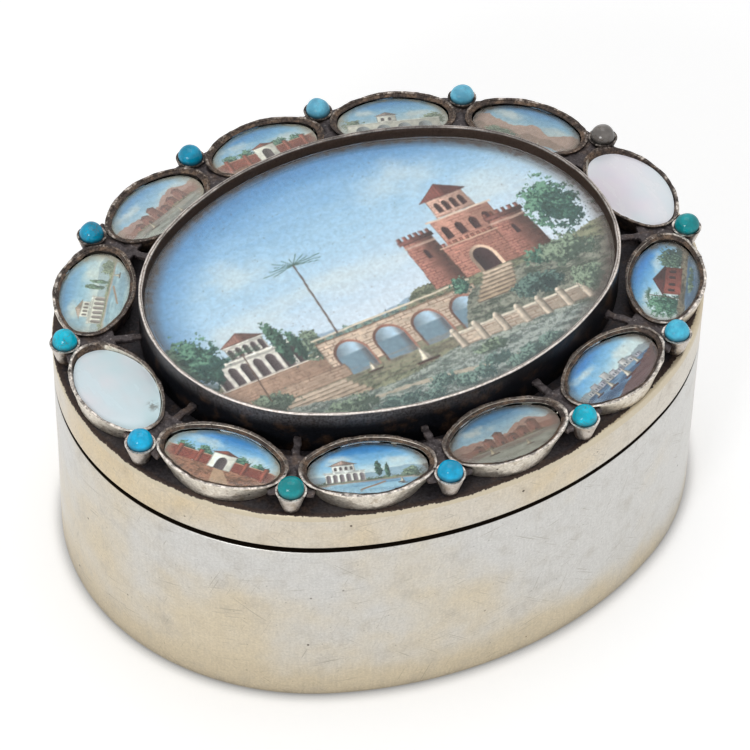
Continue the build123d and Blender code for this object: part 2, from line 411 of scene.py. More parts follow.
# The lid's plate is soldered on the band. Its top is black with oxide, and only its outer edge is
# rubbed back to gilt silver, with an uneven border that is broadest at the right.
PLATE_TOP, PLATE_ROUNDING = 30.75, 0.25
plate_profile = [(0, PLATE_UNDERSIDE), (0, 30.2), (0, PLATE_TOP - PLATE_ROUNDING)]
plate_profile += rounded_top(PLATE_ROUNDING, PLATE_TOP, 30, start=30)
plate_profile += [(inset, PLATE_TOP) for inset in (0.5, 0.8, 1.2, 1.7, 2.4, 3.5, 5.0, 8.0, 12.0, 18.0, 24.0)]


def note(piece, name, values):
    """Keeps a number on each point of a piece, for its finish to read."""
    piece.data.attributes.new(name, "FLOAT", "POINT").data.foreach_set("value", values)


def noted(tree, name):
    return put(tree, "Attribute", out="Fac", attribute_name=name)


# Wear along convex edges, where a rounded normal leaves the true one, broken up by the grain
edge_wear, inside, end = mask_group("edge wear", Radius=0.12, Grain=1.0)
rounded = put(edge_wear, "Bevel", {"Radius": times(inside["Radius"], MM)}, samples=6)
sharp = ramp_of(toward(rounded, way_it_faces(edge_wear)), 0.985, 0.90)
wire(end, {"Mask": times(sharp, ramp_of(inside["Grain"], 0.3, 0.6))})


def oxidised(name, black, brown, bare, wear, border=None):
    """Silver black with oxide, brown in patches, and bare metal where it is rubbed, also along its
    border where that is noted on its points."""
    made, tree, shader, where = finish_named(name)
    rust = ramp_of(patches(where, 2.2, 6.0, seed=3.0, rough=0.65), 0.48, 0.72)
    colour = tint(rust, black, brown)
    fine = patches(where, 0.35, 5.0, seed=6.0, rough=0.7)
    rubbed = ramp_of(plus(fine, wear), 0.68, 0.78)
    if border:
        broad = patches(where, 3.2, 3.0, seed=8.0)
        ragged = plus(noted(tree, border), times(broad, -0.7))
        ragged = plus(ragged, times(fine, -0.9))
        rightward = toward(where, (0.86, -0.51, 0.0))
        ragged = plus(ragged, ramp_of(rightward, 18, 32, 0.0, -0.8))
        colour = tint(ramp_of(ragged, 0.0, -0.5), colour, (0.055, 0.037, 0.031))
        rubbed = larger(rubbed, ramp_of(ragged, -0.84, -0.96))
    rubbed = larger(rubbed, mask_from(tree, edge_wear, Radius=0.12, Grain=fine))
    colour = shaded(colour, ramp_of(fine, 0.3, 0.7), (0.55, 0.52, 0.52), (1.4, 1.4, 1.4))
    wire(shader, {"Base Color": tint(rubbed, colour, bare), "Roughness": ramp_of(fine, 0.3, 0.75, 0.42, 0.62),
                  "Metallic": larger(rubbed, 0.35), "Specular IOR Level": 0.3, "Normal": bump(fine, 0.06)})
    return made


lid_plate = draw_up("plate", drawn_in(plate_profile), PLAN_JOIN, closed=True)
note(lid_plate, "inset", [inset + min(0, height - PLATE_TOP) for inset, height in plate_profile
                          for _ in range(AROUND)])
plate_black = oxidised("oxidised silver of the plate", black=(0.050, 0.046, 0.052),
                       brown=(0.110, 0.076, 0.060), bare=(0.62, 0.55, 0.42), wear=0.0, border="inset")
dress(lid_plate, plate_black)
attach(lid_plate, "lid")
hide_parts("lid_plate")


# The tall collet holds the large plaque. It is a thin wall of silver with a bright rim rubbed bare,
# painted brighter at the front as a painted highlight, and a dark groove along it, blue-black outside
# with a grey painted sheen at the front left, and stained brown inside.
BEZEL_LENGTH, BEZEL_WIDTH, BEZEL_JOIN = 29.7, 23.2, 58.0
BEZEL_TOP, BEZEL_WALL, BEZEL_ROUNDING = 36.70, 0.65, 0.2
bezel_profile = [(0, height) for height in (PLATE_TOP, 32.5, 34.5, 35.9)]
bezel_profile += rounded_top(BEZEL_ROUNDING, BEZEL_TOP, 18)
bezel_profile += [(0.28, 36.69), (0.38, 36.64), (0.48, 36.55), (0.57, 36.43), (0.63, 36.26)]
bezel_profile += [(BEZEL_WALL, height) for height in (36.0, 35.6, 34.4, PLATE_TOP)]
tall_collet = draw_up("tall_collet", drawn_in(bezel_profile, BEZEL_LENGTH, BEZEL_WIDTH), BEZEL_JOIN)
by_hand(tall_collet, reach=0.07, size=3.0, seed=3, only=lambda place, normal: 35.8 < place.z < 36.6)
note(tall_collet, "inset", [inset for inset, _ in bezel_profile for _ in range(AROUND)])


def collet_silver(name, rim, outside, rusty, inside, top):
    """Silver of the tall collet: its crest rubbed bright, most at the front, where the extra brightness is
    a painted highlight, its outer side black with oxide and rusty in patches, with a grey painted sheen
    below the rim at the front left, and its inner side brown."""
    made, tree, shader, where = finish_named(name)
    fine = patches(where, 0.3, 5.0, seed=6.0, rough=0.7)
    stain = ramp_of(patches(where, 2.2, 6.0, seed=4.0, rough=0.6), 0.5, 0.72)
    high, normal = height_of(where), way_it_faces(tree)
    inner = toward(normal, vector_maths("NORMALIZE", where))
    front, left = toward(where, (-0.5, -1.0, 0.0)), toward(where, (-0.9, -0.6, 0.0))
    crest = ramp_of(height_of(normal), 0.2, 0.6)
    bare = times(crest, ramp_of(high, top - 0.2, top - 0.05))
    # Wear that comes and goes, with a bias to the front that paints a highlight on the crest
    worn = plus(ramp_of(front, -30, 20, 0.0, 0.5), patches(where, 2.6, 3.0, seed=12.0))
    bare = times(bare, times(ramp_of(fine, 0.22, 0.42), ramp_of(worn, 0.35, 0.9, 0.35, 1.0)))
    # Painted sheen: grey painted down from the rim on the front left of the outer side
    painted_sheen = times(ramp_of(high, top - 2.4, top - 0.3), ramp_of(left, 8, 28, 0.08, 0.7))
    painted_sheen = times(painted_sheen, ramp_of(fine, 0.25, 0.6, 0.4, 1.0))
    colour = tint(stain, outside, rusty)
    colour = tint(painted_sheen, colour, (0.20, 0.19, 0.20))
    colour = tint(ramp_of(inner, 0.3, -0.1), colour, inside)
    wander = plus(times(patches(where, 1.8, 4.0, seed=17.0), 0.3), 0.14)
    groove = maths("ABSOLUTE", maths("SUBTRACT", noted(tree, "inset"), wander))
    groove = times(ramp_of(groove, 0.11, 0.03), 0.75)
    colour = tint(bare, colour, tint(groove, rim, (0.12, 0.09, 0.08)))
    colour = shaded(colour, ramp_of(fine, 0.3, 0.7), (0.62, 0.58, 0.54), (1.15, 1.15, 1.15))
    rough = plus(ramp_of(fine, 0.3, 0.75, 0.3, 0.5), ramp_of(inner, 0.3, -0.1, 0.0, 0.25))
    wire(shader, {"Base Color": colour, "Roughness": rough, "Metallic": larger(bare, 0.3),
                  "Specular IOR Level": 0.15, "Normal": bump(fine, 0.05)})
    return made


bezel_silver = collet_silver("silver of the tall collet", rim=(0.78, 0.73, 0.69),
                             outside=(0.010, 0.011, 0.015), rusty=(0.070, 0.042, 0.028),
                             inside=(0.052, 0.034, 0.026), top=BEZEL_TOP)
dress(tall_collet, bezel_silver)
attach(tall_collet, "lid")
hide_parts("centre_bezel")


# Each plaque is bedded on brown lac, which was poured into its collet warm. It shows only where a
# plaque is out.
lac, _, shader, where = finish_named("lac")
wire(shader, {"Base Color": tint(patches(where, 1.5, 5.0), (0.05, 0.022, 0.012), (0.13, 0.06, 0.03)),
              "Roughness": ramp_of(patches(where, 0.8), 0.3, 0.7, 0.35, 0.6)})
for name in ("centre_bed", "setting_beds"):
    dress(node[name], lac)


# The large plaque is a thin oval leaf painted in gouache with a made-up landscape: a river with a
# stone bridge, a gatehouse of red stone, and a garden house among trees. Its colour is laid on a
# fine grid of points.
CENTRE_FACE, CENTRE_THICK, CENTRE_GRID, PLAQUE_FIT = 34.60, 0.7, 0.155, 0.05


def to_oval(x, y, long_half, short_half, join):
    """Distance of points outside the oval, and the nearest points on it."""
    end_centre, end_radius, side_centre, side_radius = oval_arcs(long_half, short_half, join)
    along, across, angle = np.abs(x), np.abs(y), radians(join)
    side = across * cos(angle) > (along - end_centre) * sin(angle)
    centre_x, centre_y = np.where(side, 0, end_centre), np.where(side, -side_centre, 0)
    radius = np.where(side, side_radius, end_radius)
    reach = np.hypot(along - centre_x, across - centre_y)
    near_x = (centre_x + (along - centre_x) * radius / reach) * np.where(x < 0, -1, 1)
    near_y = (centre_y + (across - centre_y) * radius / reach) * np.where(y < 0, -1, 1)
    return reach - radius, near_x, near_y


def places(parts, what):
    """Place of each point or face of a mesh, in mm."""
    place = np.empty(3 * len(parts))
    parts.foreach_get(what, place)
    return place.reshape(-1, 3) / MM


def plaque(name, long_half, short_half, join, top, thick, step, foot=(1, 1)):
    """Thin oval leaf with a fine grid of points on its face, trimmed to the oval, and a narrower foot."""
    columns, rows = int(2 * long_half / step), int(2 * short_half / step)
    bpy.ops.mesh.primitive_grid_add(x_subdivisions=columns, y_subdivisions=rows, size=2,
                                    location=(0, 0, top * MM))
    piece = bpy.context.object
    piece.name = piece.data.name = name
    bpy.ops.transform.resize(value=(long_half * MM, short_half * MM, 1))
    bpy.ops.object.transform_apply(location=True, rotation=True, scale=True)
    centres = places(piece.data.polygons, "center")
    outside = to_oval(centres[:, 0], centres[:, 1], long_half, short_half, join)[0] > 0
    bpy.ops.object.mode_set(mode="EDIT")
    bpy.ops.mesh.select_mode(type="FACE")
    bpy.ops.mesh.select_all(action="DESELECT")
    bpy.ops.object.mode_set(mode="OBJECT")
    piece.data.polygons.foreach_set("select", outside)
    bpy.ops.object.mode_set(mode="EDIT")
    bpy.ops.mesh.delete(type="FACE")
    bpy.ops.mesh.select_mode(type="EDGE")
    bpy.ops.mesh.select_non_manifold()
    bpy.ops.object.mode_set(mode="OBJECT")
    place = places(piece.data.vertices, "co")
    rim = np.empty(len(place), bool)
    piece.data.vertices.foreach_get("select", rim)
    _, place[rim, 0], place[rim, 1] = to_oval(place[rim, 0], place[rim, 1], long_half, short_half, join)
    piece.data.vertices.foreach_set("co", (place * MM).ravel())
    bpy.ops.object.mode_set(mode="EDIT")
    bpy.ops.mesh.extrude_region_move(TRANSFORM_OT_translate={"value": (0, 0, -thick * MM)})
    bpy.ops.transform.resize(value=(*foot, 1))
    bpy.ops.mesh.edge_face_add()
    bpy.ops.mesh.select_all(action="SELECT")
    bpy.ops.mesh.normals_make_consistent(inside=False)
    bpy.ops.object.mode_set(mode="OBJECT")
    return piece, place[:, 0], place[:, 1]


BARE_CARD = (0.78, 0.72, 0.62)


def keep_paint(piece, painted):
    """Keeps a painting's colours on the points of its plaque, and bare card on the rest."""
    colours = np.ones((len(piece.data.vertices), 4))
    colours[:, :3] = BARE_CARD
    colours[:len(painted.x), :3] = np.clip(painted.colour, 0, 1)
    screen = colours[:, :3]
    colours[:, :3] = np.where(screen <= 0.04045, screen / 12.92, ((screen + 0.055) / 1.055) ** 2.4)
    paint = piece.data.color_attributes.new("paint", "FLOAT_COLOR", "POINT")
    paint.data.foreach_set("color", colours.ravel())


gouache, tree, shader, where = finish_named("gouache")
grain = patches(where, 0.22, 3.0, seed=1.0)
laid = put(tree, "VertexColor", layer_name="paint")
wire(shader, {"Base Color": shaded(laid, grain, (0.93, 0.93, 0.93), (1.05, 1.05, 1.05)),
              "Roughness": ramp_of(grain, 0.3, 0.7, 0.5, 0.7), "Specular IOR Level": 0.25})


def mottle(x, y, size, seed, octaves=3):
    """Smooth random clouds from 0 to 1, with patches about as wide as size."""
    field, weight = np.zeros(len(x)), 0.0
    for octave in range(octaves):
        table = np.random.default_rng(seed + octave).random((64, 64))
        u, v = x / size * 2 ** octave + 31.7, y / size * 2 ** octave + 17.3
        i, j = np.floor(u).astype(int), np.floor(v).astype(int)
        s, t = (w * w * (3 - 2 * w) for w in (u - i, v - j))
        low = table[i % 64, j % 64] * (1 - s) + table[(i + 1) % 64, j % 64] * s
        high = table[i % 64, (j + 1) % 64] * (1 - s) + table[(i + 1) % 64, (j + 1) % 64] * s
        field += (low * (1 - t) + high * t) / 2 ** octave
        weight += 1 / 2 ** octave
    return field / weight


def ramp(value, start, end):
    """0 before start, 1 past end, and smooth between them."""
    t = np.clip((value - start) / (end - start), 0, 1)
    return t * t * (3 - 2 * t)


class Painting:
    """A gouache on a plaque: a colour for each point of its fine grid, laid on in coats."""

    def __init__(self, x, y, seed, edge, unsteady):
        self.seed, self.edge = seed, edge
        self.x = x + unsteady * (mottle(x, y, 1.4, seed + 1) - 0.5)
        self.y = y + unsteady * (mottle(x, y, 1.1, seed + 2) - 0.5)
        self.colour = np.ones((len(x), 3))

    def lay(self, cover, colour, tone=1.0):
        """One coat, with its cover from 0 to 1, its colour from 0 to 255, and how light it is laid."""
        coat = np.asarray(colour, float) * np.asarray(tone)[..., None]
        self.colour += (coat / 255 - self.colour) * np.clip(cover, 0, 1)[..., None]

    def inside(self, distance):
        return np.clip(0.5 - distance / self.edge, 0, 1)

    def beyond(self, y0, y1):
        """Distance above or below a band."""
        return np.maximum(y0 - self.y, self.y - y1)

    def between(self, x0, x1, y0, y1):
        return self.inside(np.maximum(np.maximum(x0 - self.x, self.x - x1), self.beyond(y0, y1)))

    def field(self, size, seed, octaves=3, wide=1.0, tall=1.0):
        return mottle(self.x / wide, self.y / tall, size, self.seed + seed, octaves)

    def sky(self, high, middle, low, horizon, top, lean):
        """Wash from deep blue at the top to pale at the horizon, with the drag of the brush."""
        drag = self.field(1.3, 3, wide=3.0, tall=0.5) - 0.5
        rise = (self.y - lean * self.x - horizon) / (top - horizon) + 0.10 * drag
        self.lay(np.ones(len(self.x)), low)
        self.lay(ramp(rise, 0.02, 0.55), middle)
        self.lay(ramp(rise, 0.42, 1.08), high)

    def cloud(self, x, y, long, tall, colour, strength):
        billow = self.field(long * 0.4, int(31 * abs(x)) + 5, 4, tall=0.7)
        away = np.hypot((self.x - x) / long, (self.y - y) / tall)
        self.lay(strength * (1 - ramp(away + 1.1 * (0.5 - billow), 0.0, 1.15)), colour)

    def hills(self, base, height, size, colour, seed):
        line = base + height * mottle(self.x, 0 * self.x, size, seed, 4)
        self.lay(self.inside(self.y - line), colour)

    def ground(self, top, light, dark, size=1.0):
        """Grass or earth below a line, laid on in short strokes."""
        strokes = self.field(size, 11, 4, wide=1.9, tall=0.55)
        blades = self.field(size * 0.22, 13, 3, wide=0.8)
        cover = self.inside(self.y - top - 0.5 * (blades - 0.5))
        self.lay(cover, light)
        self.lay(cover * ramp(strokes + 0.5 * (blades - 0.5), 0.36, 0.72), dark)
        self.lay(cover * 0.5 * ramp(blades - 0.4 * strokes, 0.38, 0.5), light, 1.15)
        self.lay(cover * 0.5 * ramp(self.field(size * 0.3, 57, 3, wide=1.4), 0.54, 0.66), dark, 0.75)

    def water(self, top, bottom, light, dark):
        streaks = self.field(0.9, 23, 3, wide=5.0, tall=0.4)
        cover = self.inside(self.beyond(bottom, top))
        self.lay(cover, light)
        self.lay(cover * ramp(streaks, 0.35, 0.75), dark)

    def outline(self, cover, within, colour):
        """Thin broken line drawn round a shape, in a darker tone of its colour."""
        broken = ramp(self.field(0.5, 37), 0.25, 0.5)
        self.lay(cover * 0.6 * broken * (1 - ramp(within, 0.4 * self.edge, 1.6 * self.edge)), colour, 0.42)

    def wall(self, x0, x1, y0, y1, colour, taper=0.0, shade=0.3, course=None):
        """Wall lit from the left, narrower at its top by taper, weathered, with or without courses."""
        middle, half = (x0 + x1) / 2, (x1 - x0) / 2
        rise = np.clip((self.y - y0) / (y1 - y0), 0, 1)
        across = (self.x - middle) / (half - taper * rise)
        away = np.maximum((np.abs(across) - 1) * half, self.beyond(y0, y1))
        cover = self.inside(away)
        self.lay(cover, colour, 1.10 - shade * ramp(across, -0.7, 1.0) + 0.30 * (self.field(0.8, 7, 4) - 0.5))
        self.outline(cover, -away, colour)
        if course:
            long, tall, joint, strength = course
            row = np.floor(self.y / tall)
            flat = np.abs(self.y / tall - row - 0.5) * -2 * tall + tall
            upright = np.abs(((self.x + long * 0.5 * (row % 2)) / long) % 1 - 0.5) * -2 * long + long
            near = np.minimum(flat, upright)
            uneven = ramp(self.field(0.7, 9), 0.2, 0.6)
            self.lay(cover * strength * uneven * (1 - ramp(near, 0.04, 0.2)), joint)
            block = np.sin(127.1 * row + 311.7 * np.floor(self.x / long + 0.5 * (row % 2)))
            self.lay(cover * 0.22 * np.abs(block), colour, 0.75 if strength > 0.5 else 1.15)

    def opening(self, x, y0, y1, half, colour, pointed=0.0):
        """Arch or window with a round or pointed head, darker at its left side."""
        spring = y1 - half * (1 + pointed)
        up = np.maximum(self.y - spring, 0) / (1 + pointed)
        away = np.hypot(np.abs(self.x - x) + pointed * 0.35 * up, up) - half
        cover = self.inside(np.maximum(away, y0 - self.y))
        self.lay(cover, colour, 0.75 + 0.5 * ramp((self.x - x) / half, -1.0, 0.6))
        return cover

    def arcade(self, x0, x1, y0, y1, count, colour, dark, pointed=0.25):
        """Row of arches between slim piers, under a cornice that throws a shadow."""
        self.wall(x0, x1, y0, y1, colour, shade=0.1)
        bay, tall = (x1 - x0) / count, y1 - y0
        for k in range(count):
            self.opening(x0 + bay * (k + 0.5), y0, y1 - 0.24 * tall, bay * 0.34, dark, pointed)
        self.lay(0.5 * self.between(x0, x1, y1 - 0.2 * tall, y1 - 0.12 * tall), colour, 0.55)
        cornice = np.minimum(np.asarray(colour) * 1.1, 250)
        self.wall(x0 - 0.15, x1 + 0.15, y1 - 0.12 * tall, y1, cornice, shade=0.0)

    def dome(self, x, y, half, tall, colour):
        """Dome, light at its upper left."""
        u, v = (self.x - x) / half, (self.y - y) / tall
        cover = self.inside(np.maximum((np.hypot(u, np.maximum(v, 0)) - 1) * min(half, tall), y - self.y))
        self.lay(cover, colour, 1.15 - 0.55 * ramp(u - 0.5 * v, -0.9, 0.8))

    def roof(self, x0, x1, y0, y1, colour, ribs=0.0):
        """Pitched roof, darker on its right slope."""
        middle, half = (x0 + x1) / 2, (x1 - x0) / 2
        slope = (np.abs(self.x - middle) / half + (self.y - y0) / (y1 - y0) - 1) * min(half, y1 - y0)
        cover = self.inside(np.maximum(slope, y0 - self.y))
        tone = 1.08 - 0.4 * ramp((self.x - middle) / half, -0.15, 0.2) + 0.2 * (self.field(0.5, 8) - 0.5)
        self.lay(cover, colour, tone)
        self.outline(cover, np.minimum(-slope, self.y - y0), colour)
        if ribs:
            self.lay(cover * 0.4 * ramp(np.abs((self.x / ribs) % 1 - 0.5), 0.3, 0.48), colour, 0.6)

    def foliage(self, x, y, half, tall, light, dark, leaf, loose=0.9):
        """Crown of leaves stippled on, dark in its hollows and light on the lit side."""
        clumps, leaves = self.field(leaf * 4, 17, 3), self.field(leaf, 19, 2)
        u, v = (self.x - x) / half, (self.y - y) / tall
        away = np.hypot(u, v) + loose * (0.5 - clumps) + 0.55 * (0.5 - leaves)
        cover = 1 - ramp(away, 0.86, 1.0)
        self.lay(cover * 0.92, dark)
        lit = 0.9 * (clumps - 0.5) + 0.9 * (leaves - 0.5) + 0.35 * v - 0.3 * u
        middle = (np.asarray(light) + np.asarray(dark)) / 2
        self.lay(cover * ramp(lit, -0.16, 0.04), middle)
        self.lay(cover * ramp(lit, 0.10, 0.30), light)
        self.lay(cover * 0.75 * ramp(self.field(leaf, 53, 3), 0.52, 0.64), dark, 0.8)

    def stroke(self, x0, y0, x1, y1, width, colour, cover=1.0):
        dx, dy = x1 - x0, y1 - y0
        t = np.clip(((self.x - x0) * dx + (self.y - y0) * dy) / (dx * dx + dy * dy), 0, 1)
        away = np.hypot(self.x - x0 - t * dx, self.y - y0 - t * dy)
        self.lay(cover * self.inside(away - width / 2), colour)

    def palm(self, x, y, tall, leaf, trunk):
        top = (x + 0.09 * tall, y + tall)
        self.stroke(x, y, *top, 0.05 * tall ** 0.6, trunk)
        for k in range(13):
            angle, reach = radians(15 * k), (0.24 + 0.05 * (k % 3)) * tall
            tip = top[0] + reach * cos(angle), top[1] + reach * (0.6 * sin(angle) - 0.22)
            self.stroke(*top, *tip, 0.1, leaf, 0.85)

    def cypress(self, x, y, tall):
        self.foliage(x, y + tall / 2, 0.13 * tall, 0.52 * tall, (96, 134, 112), (34, 62, 56), 0.22, 0.5)

    def steps(self, count, x0, x1, y, back0, back1, tall, colour, line):
        """Flight of steps from its top one down, each end shifting by back as it comes forward."""
        for k in range(count):
            left, right, foot = x0 + back0 * k, x1 + back1 * k, y - 0.62 * k
            self.wall(left, right, foot, foot + tall, np.array(colour) - 7 * k, 0, 0.1)
            self.stroke(left, foot, right, foot, line, (96, 72, 62), 0.8)

    def boat(self, x, y, size, hull, sail):
        self.roof(x - 0.45 * size, x + 0.4 * size, y + 0.14 * size, y + 1.5 * size, sail)
        reach = 0.75 * size
        self.wall(x - reach, x + reach, y - 0.08 * size, y + 0.12 * size, hull, taper=-0.15 * size)

    def age(self, reach, long_half, short_half, colour, strength=0.75):
        """Dirt and damp that crept in from the edge, and fine specks all over."""
        away = (1 - np.hypot(self.x / long_half, self.y / short_half)) / reach
        damp = self.field(0.7, 41, 2)
        self.lay(strength * 0.8 * (1 - ramp(away, 0.0, 1.5)), colour)
        self.lay(strength * ramp(damp - away, 0.02, 0.5), colour)
        self.lay(0.5 * strength * ramp(self.field(0.3, 43, 2), 0.84, 0.95), colour)
        self.colour *= 1 + 0.14 * (self.field(0.32, 47, 2) - 0.5)[:, None]


RED, DARK_RED, BUFF, JOINT = (172, 120, 106), (128, 84, 76), (200, 180, 160), (112, 84, 72)
PALE, HOLLOW = (214, 210, 200), (74, 64, 66)
LEAVES, SAGE = ((112, 158, 132), (36, 72, 66)), ((142, 160, 136), (70, 88, 78))


def paint_river(x, y):
    """River view: a garden house among trees, a stone bridge, and a red gatehouse on a bluff."""
    p = Painting(x, y, seed=11, edge=0.12, unsteady=0.18)
    p.sky((84, 143, 195), (166, 202, 225), (212, 224, 234), horizon=-8, top=26, lean=0.14)
    for cloud in ((-15, 8, 7, 4), (11, 14, 8, 4), (19, 7, 9, 4), (-5, 2, 14, 2.6), (-20, 0, 9, 3)):
        p.cloud(*cloud, (220, 225, 220), 0.5)
    rim = ramp(np.hypot(p.x / 29, p.y / 22.5), 0.74, 1.0)
    p.lay(0.6 * rim * ramp(p.y - 0.9 * p.x, -16, 10), (66, 124, 178))
    p.hills(-7.6, 5.2, 10, (152, 174, 192), 5)
    p.hills(-8.2, 3.4, 5, (124, 148, 154), 8)
    p.foliage(-6, -7.2, 16, 1.5, (130, 156, 146), (82, 108, 106), 0.3)
    p.water(-8.0, -23.0, (164, 188, 202), (112, 140, 156))
    # Bluff at the right, with a gatehouse of two bastions and a stepped hall behind them
    p.ground(-4.6 - 2.6 * ramp(2.6 - p.x, 0, 5) + 0.6 * np.sin(p.x * 0.5), (140, 142, 116), (84, 92, 76), 1.0)
    p.wall(9.4, 17.8, -4.8, 5.0, (190, 142, 124), 0.2, 0.35, (0.9, 0.42, (112, 68, 60), 0.5))
    p.stroke(9.2, 5.0, 18.0, 5.0, 0.3, (222, 200, 180))
    p.wall(10.8, 16.2, 5.2, 8.4, (206, 170, 152), 0.2, 0.35, (0.9, 0.42, (112, 68, 60), 0.5))
    p.roof(10.2, 16.8, 8.4, 10.8, (132, 78, 70), 0.5)
    for k in range(4):
        p.opening(11.9 + 1.1 * k, 5.9, 7.7, 0.34, (58, 36, 36), 0.3)
        p.opening(10.6 + 1.9 * k, 1.4, 3.6, 0.5, (58, 36, 36), 0.3)
    for x0, x1, y1 in ((4.4, 9.0, 3.0), (15.6, 20.8, 1.8)):
        p.wall(x0, x1, -5.4, y1, RED, 0.35, 0.75, (0.9, 0.42, (96, 58, 50), 0.6))
        p.lay(0.6 * p.between(x0 + 0.2, x1 - 0.2, y1 - 0.9, y1 - 0.5), (220, 196, 176))
        p.wall(x0 - 0.05, x1 + 0.05, y1, y1 + 0.7, DARK_RED, 0, 0.75)
        for k in range(6):
            place = x0 + (k + 0.5) * (x1 - x0) / 6
            p.wall(place - 0.24, place + 0.24, y1 + 0.65, y1 + 1.35, (150, 92, 80), 0, 0.6)
        p.opening((x0 + x1) / 2, y1 - 3.4, y1 - 1.8, 0.3, (52, 34, 34), 0.3)
    p.wall(8.6, 16.0, -5.4, 0.4, (178, 126, 110), 0, 0.15, (0.9, 0.42, (100, 60, 52), 0.6))
    p.opening(12.3, -5.4, -1.0, 1.7, (196, 172, 150), 0.3)
    p.opening(12.3, -5.4, -1.5, 1.25, (54, 36, 38), 0.3)
    for k in range(9):
        p.wall(8.8 + 0.8 * k, 9.3 + 0.8 * k, 0.4, 1.0, (158, 100, 86), 0, 0.3)
    p.stroke(8.4, 0.3, 16.2, 0.3, 0.22, (206, 176, 152))
    # Garden house with its wall and trees on the left bank
    p.wall(-30, -12.4, -11.4, -8.2, (168, 140, 120), 0, 0.2, (1.0, 0.5, JOINT, 0.5))
    p.arcade(-25.6, -14.2, -8.3, -4.1, 7, PALE, HOLLOW)
    p.arcade(-22.4, -17.4, -4.1, -1.9, 5, PALE, HOLLOW)
    p.roof(-22.8, -17.0, -1.9, -0.3, (150, 112, 100), 0.4)
    p.stroke(-25.8, -8.35, -12.6, -8.35, 0.2, (226, 218, 204))
    p.foliage(-26.4, -2.6, 3.4, 4.6, *LEAVES, 0.3)
    p.foliage(-12.9, -6.4, 1.7, 2.4, *SAGE, 0.26)
    p.cypress(-16.2, -8.2, 7.8)
    p.cypress(-14.6, -8.2, 5.6)
    # Bridge of buff stone from the left bank to the gatehouse
    p.wall(-12.8, 8.6, -12.0, -6.6, BUFF, 0, 0.12, (1.15, 0.52, JOINT, 0.6))
    for k in range(4):
        middle = -9.6 + 5.2 * k
        p.opening(middle, -13.0, -7.4, 2.15, (132, 92, 78), 0.1)
        gap = p.opening(middle, -13.0, -7.8, 1.85, (152, 174, 188), 0.1)
        p.lay(gap * ramp(-p.y, 9.6, 9.9), (116, 142, 156))
        p.lay(gap * 0.6 * ramp(p.x - middle, 0.7, 1.8), (84, 66, 62))
    for k in range(17):
        p.lay(0.5 * p.between(-12.6 + 1.25 * k, -12.3 + 1.25 * k, -6.6, -5.9), (150, 126, 106))
    p.stroke(-12.8, -5.9, 8.6, -5.7, 0.3, (222, 208, 186))
    p.stroke(-12.8, -6.7, 8.6, -6.6, 0.2, (128, 98, 82), 0.8)
    # Steps up the bluff, and the trees on it
    slope = -7.0 - 10.5 * ramp(9.8 - p.x, 0, 10.5) - 0.5 * np.sin(p.x * 0.7)
    p.ground(slope, (142, 144, 130), (78, 88, 78), 0.8)
    p.steps(7, 10.6, 14.6, -6.1, -0.5, -0.25, 0.6, (200, 182, 160), 0.12)
    for tree in ((24.4, 0.6, 3.6, 4.8), (7.0, -6.2, 1.3, 1.5), (18.4, -6.4, 2.2, 1.7)):
        p.foliage(*tree, *LEAVES, 0.28)
    p.foliage(21.4, -7.0, 3.6, 2.2, *SAGE, 0.28)
    # Reflections, boats and landing steps
    shimmer = ramp(p.field(0.8, 29, 3, wide=4.0, tall=0.35), 0.3, 0.6)
    p.lay(0.4 * shimmer * p.between(-12.6, 5, -15.5, -12.0), (150, 132, 118))
    p.boat(-2.4, -15.2, 1.8, (84, 54, 46), (236, 226, 206))
    p.boat(-8.6, -13.6, 1.1, (84, 54, 46), (230, 220, 200))
    p.wall(-25.5, -11.2, -13.0, -10.9, (176, 152, 132), 0, 0.1, (1.4, 0.46, JOINT, 0.55))
    p.steps(5, -22.5, -12.4, -13.7, 0.8, 0.5, 0.65, (196, 178, 158), 0.14)
    # Terrace with a low wall and an urn on each pier, before trees in shade, and the near bank
    p.foliage(15.6, -10.4, 3.4, 1.9, (104, 132, 122), (40, 62, 62), 0.26)
    p.ground(-15.2 + 1.2 * np.sin(p.x * 0.2), (160, 167, 158), (98, 112, 106), 0.7)
    p.wall(2.0, 20.0, -15.2, -13.1, (186, 170, 152), 0, 0.2, (1.2, 0.5, JOINT, 0.55))
    p.stroke(1.8, -13.0, 20.2, -13.0, 0.34, (224, 214, 196))
    for k in range(7):
        p.wall(1.9 + 2.9 * k, 2.9 + 2.9 * k, -15.4, -12.6, (206, 192, 174), 0, 0.45)
        p.dome(2.4 + 2.9 * k, -12.6, 0.42, 0.6, (214, 202, 184))
    p.ground(-17.6 + 1.6 * np.sin(p.x * 0.11 + 0.1), (160, 168, 162), (92, 106, 102), 0.8)
    path = np.abs(p.y + 18.6 + 1.2 * np.sin(p.x * 0.13)) - 0.5 + 0.5 * p.field(0.8, 5)
    p.lay(0.75 * p.inside(path), (196, 178, 156))
    for k in range(15):
        bank = -19.6 + 0.9 * np.sin(2.3 * k)
        p.foliage(-17.0 + 2.4 * k, bank, 1.9, 1.1, (128, 156, 144), (66, 90, 88), 0.24)
    for bush in ((-14, -17.4, 3.6, 1.4), (5.4, -16.6, 2.4, 1.0), (-22, -12.6, 3.2, 1.8),
                 (21.6, -12.2, 2.2, 2.0)):
        p.foliage(*bush, *SAGE, 0.26)
    p.palm(-9.4, -6.0, 12.5, (52, 84, 68), (92, 74, 64))
    p.palm(-21.6, -12.2, 8.6, (58, 92, 72), (98, 78, 66))
    p.age(0.05, 29.0, 22.5, (78, 66, 60))
    return p


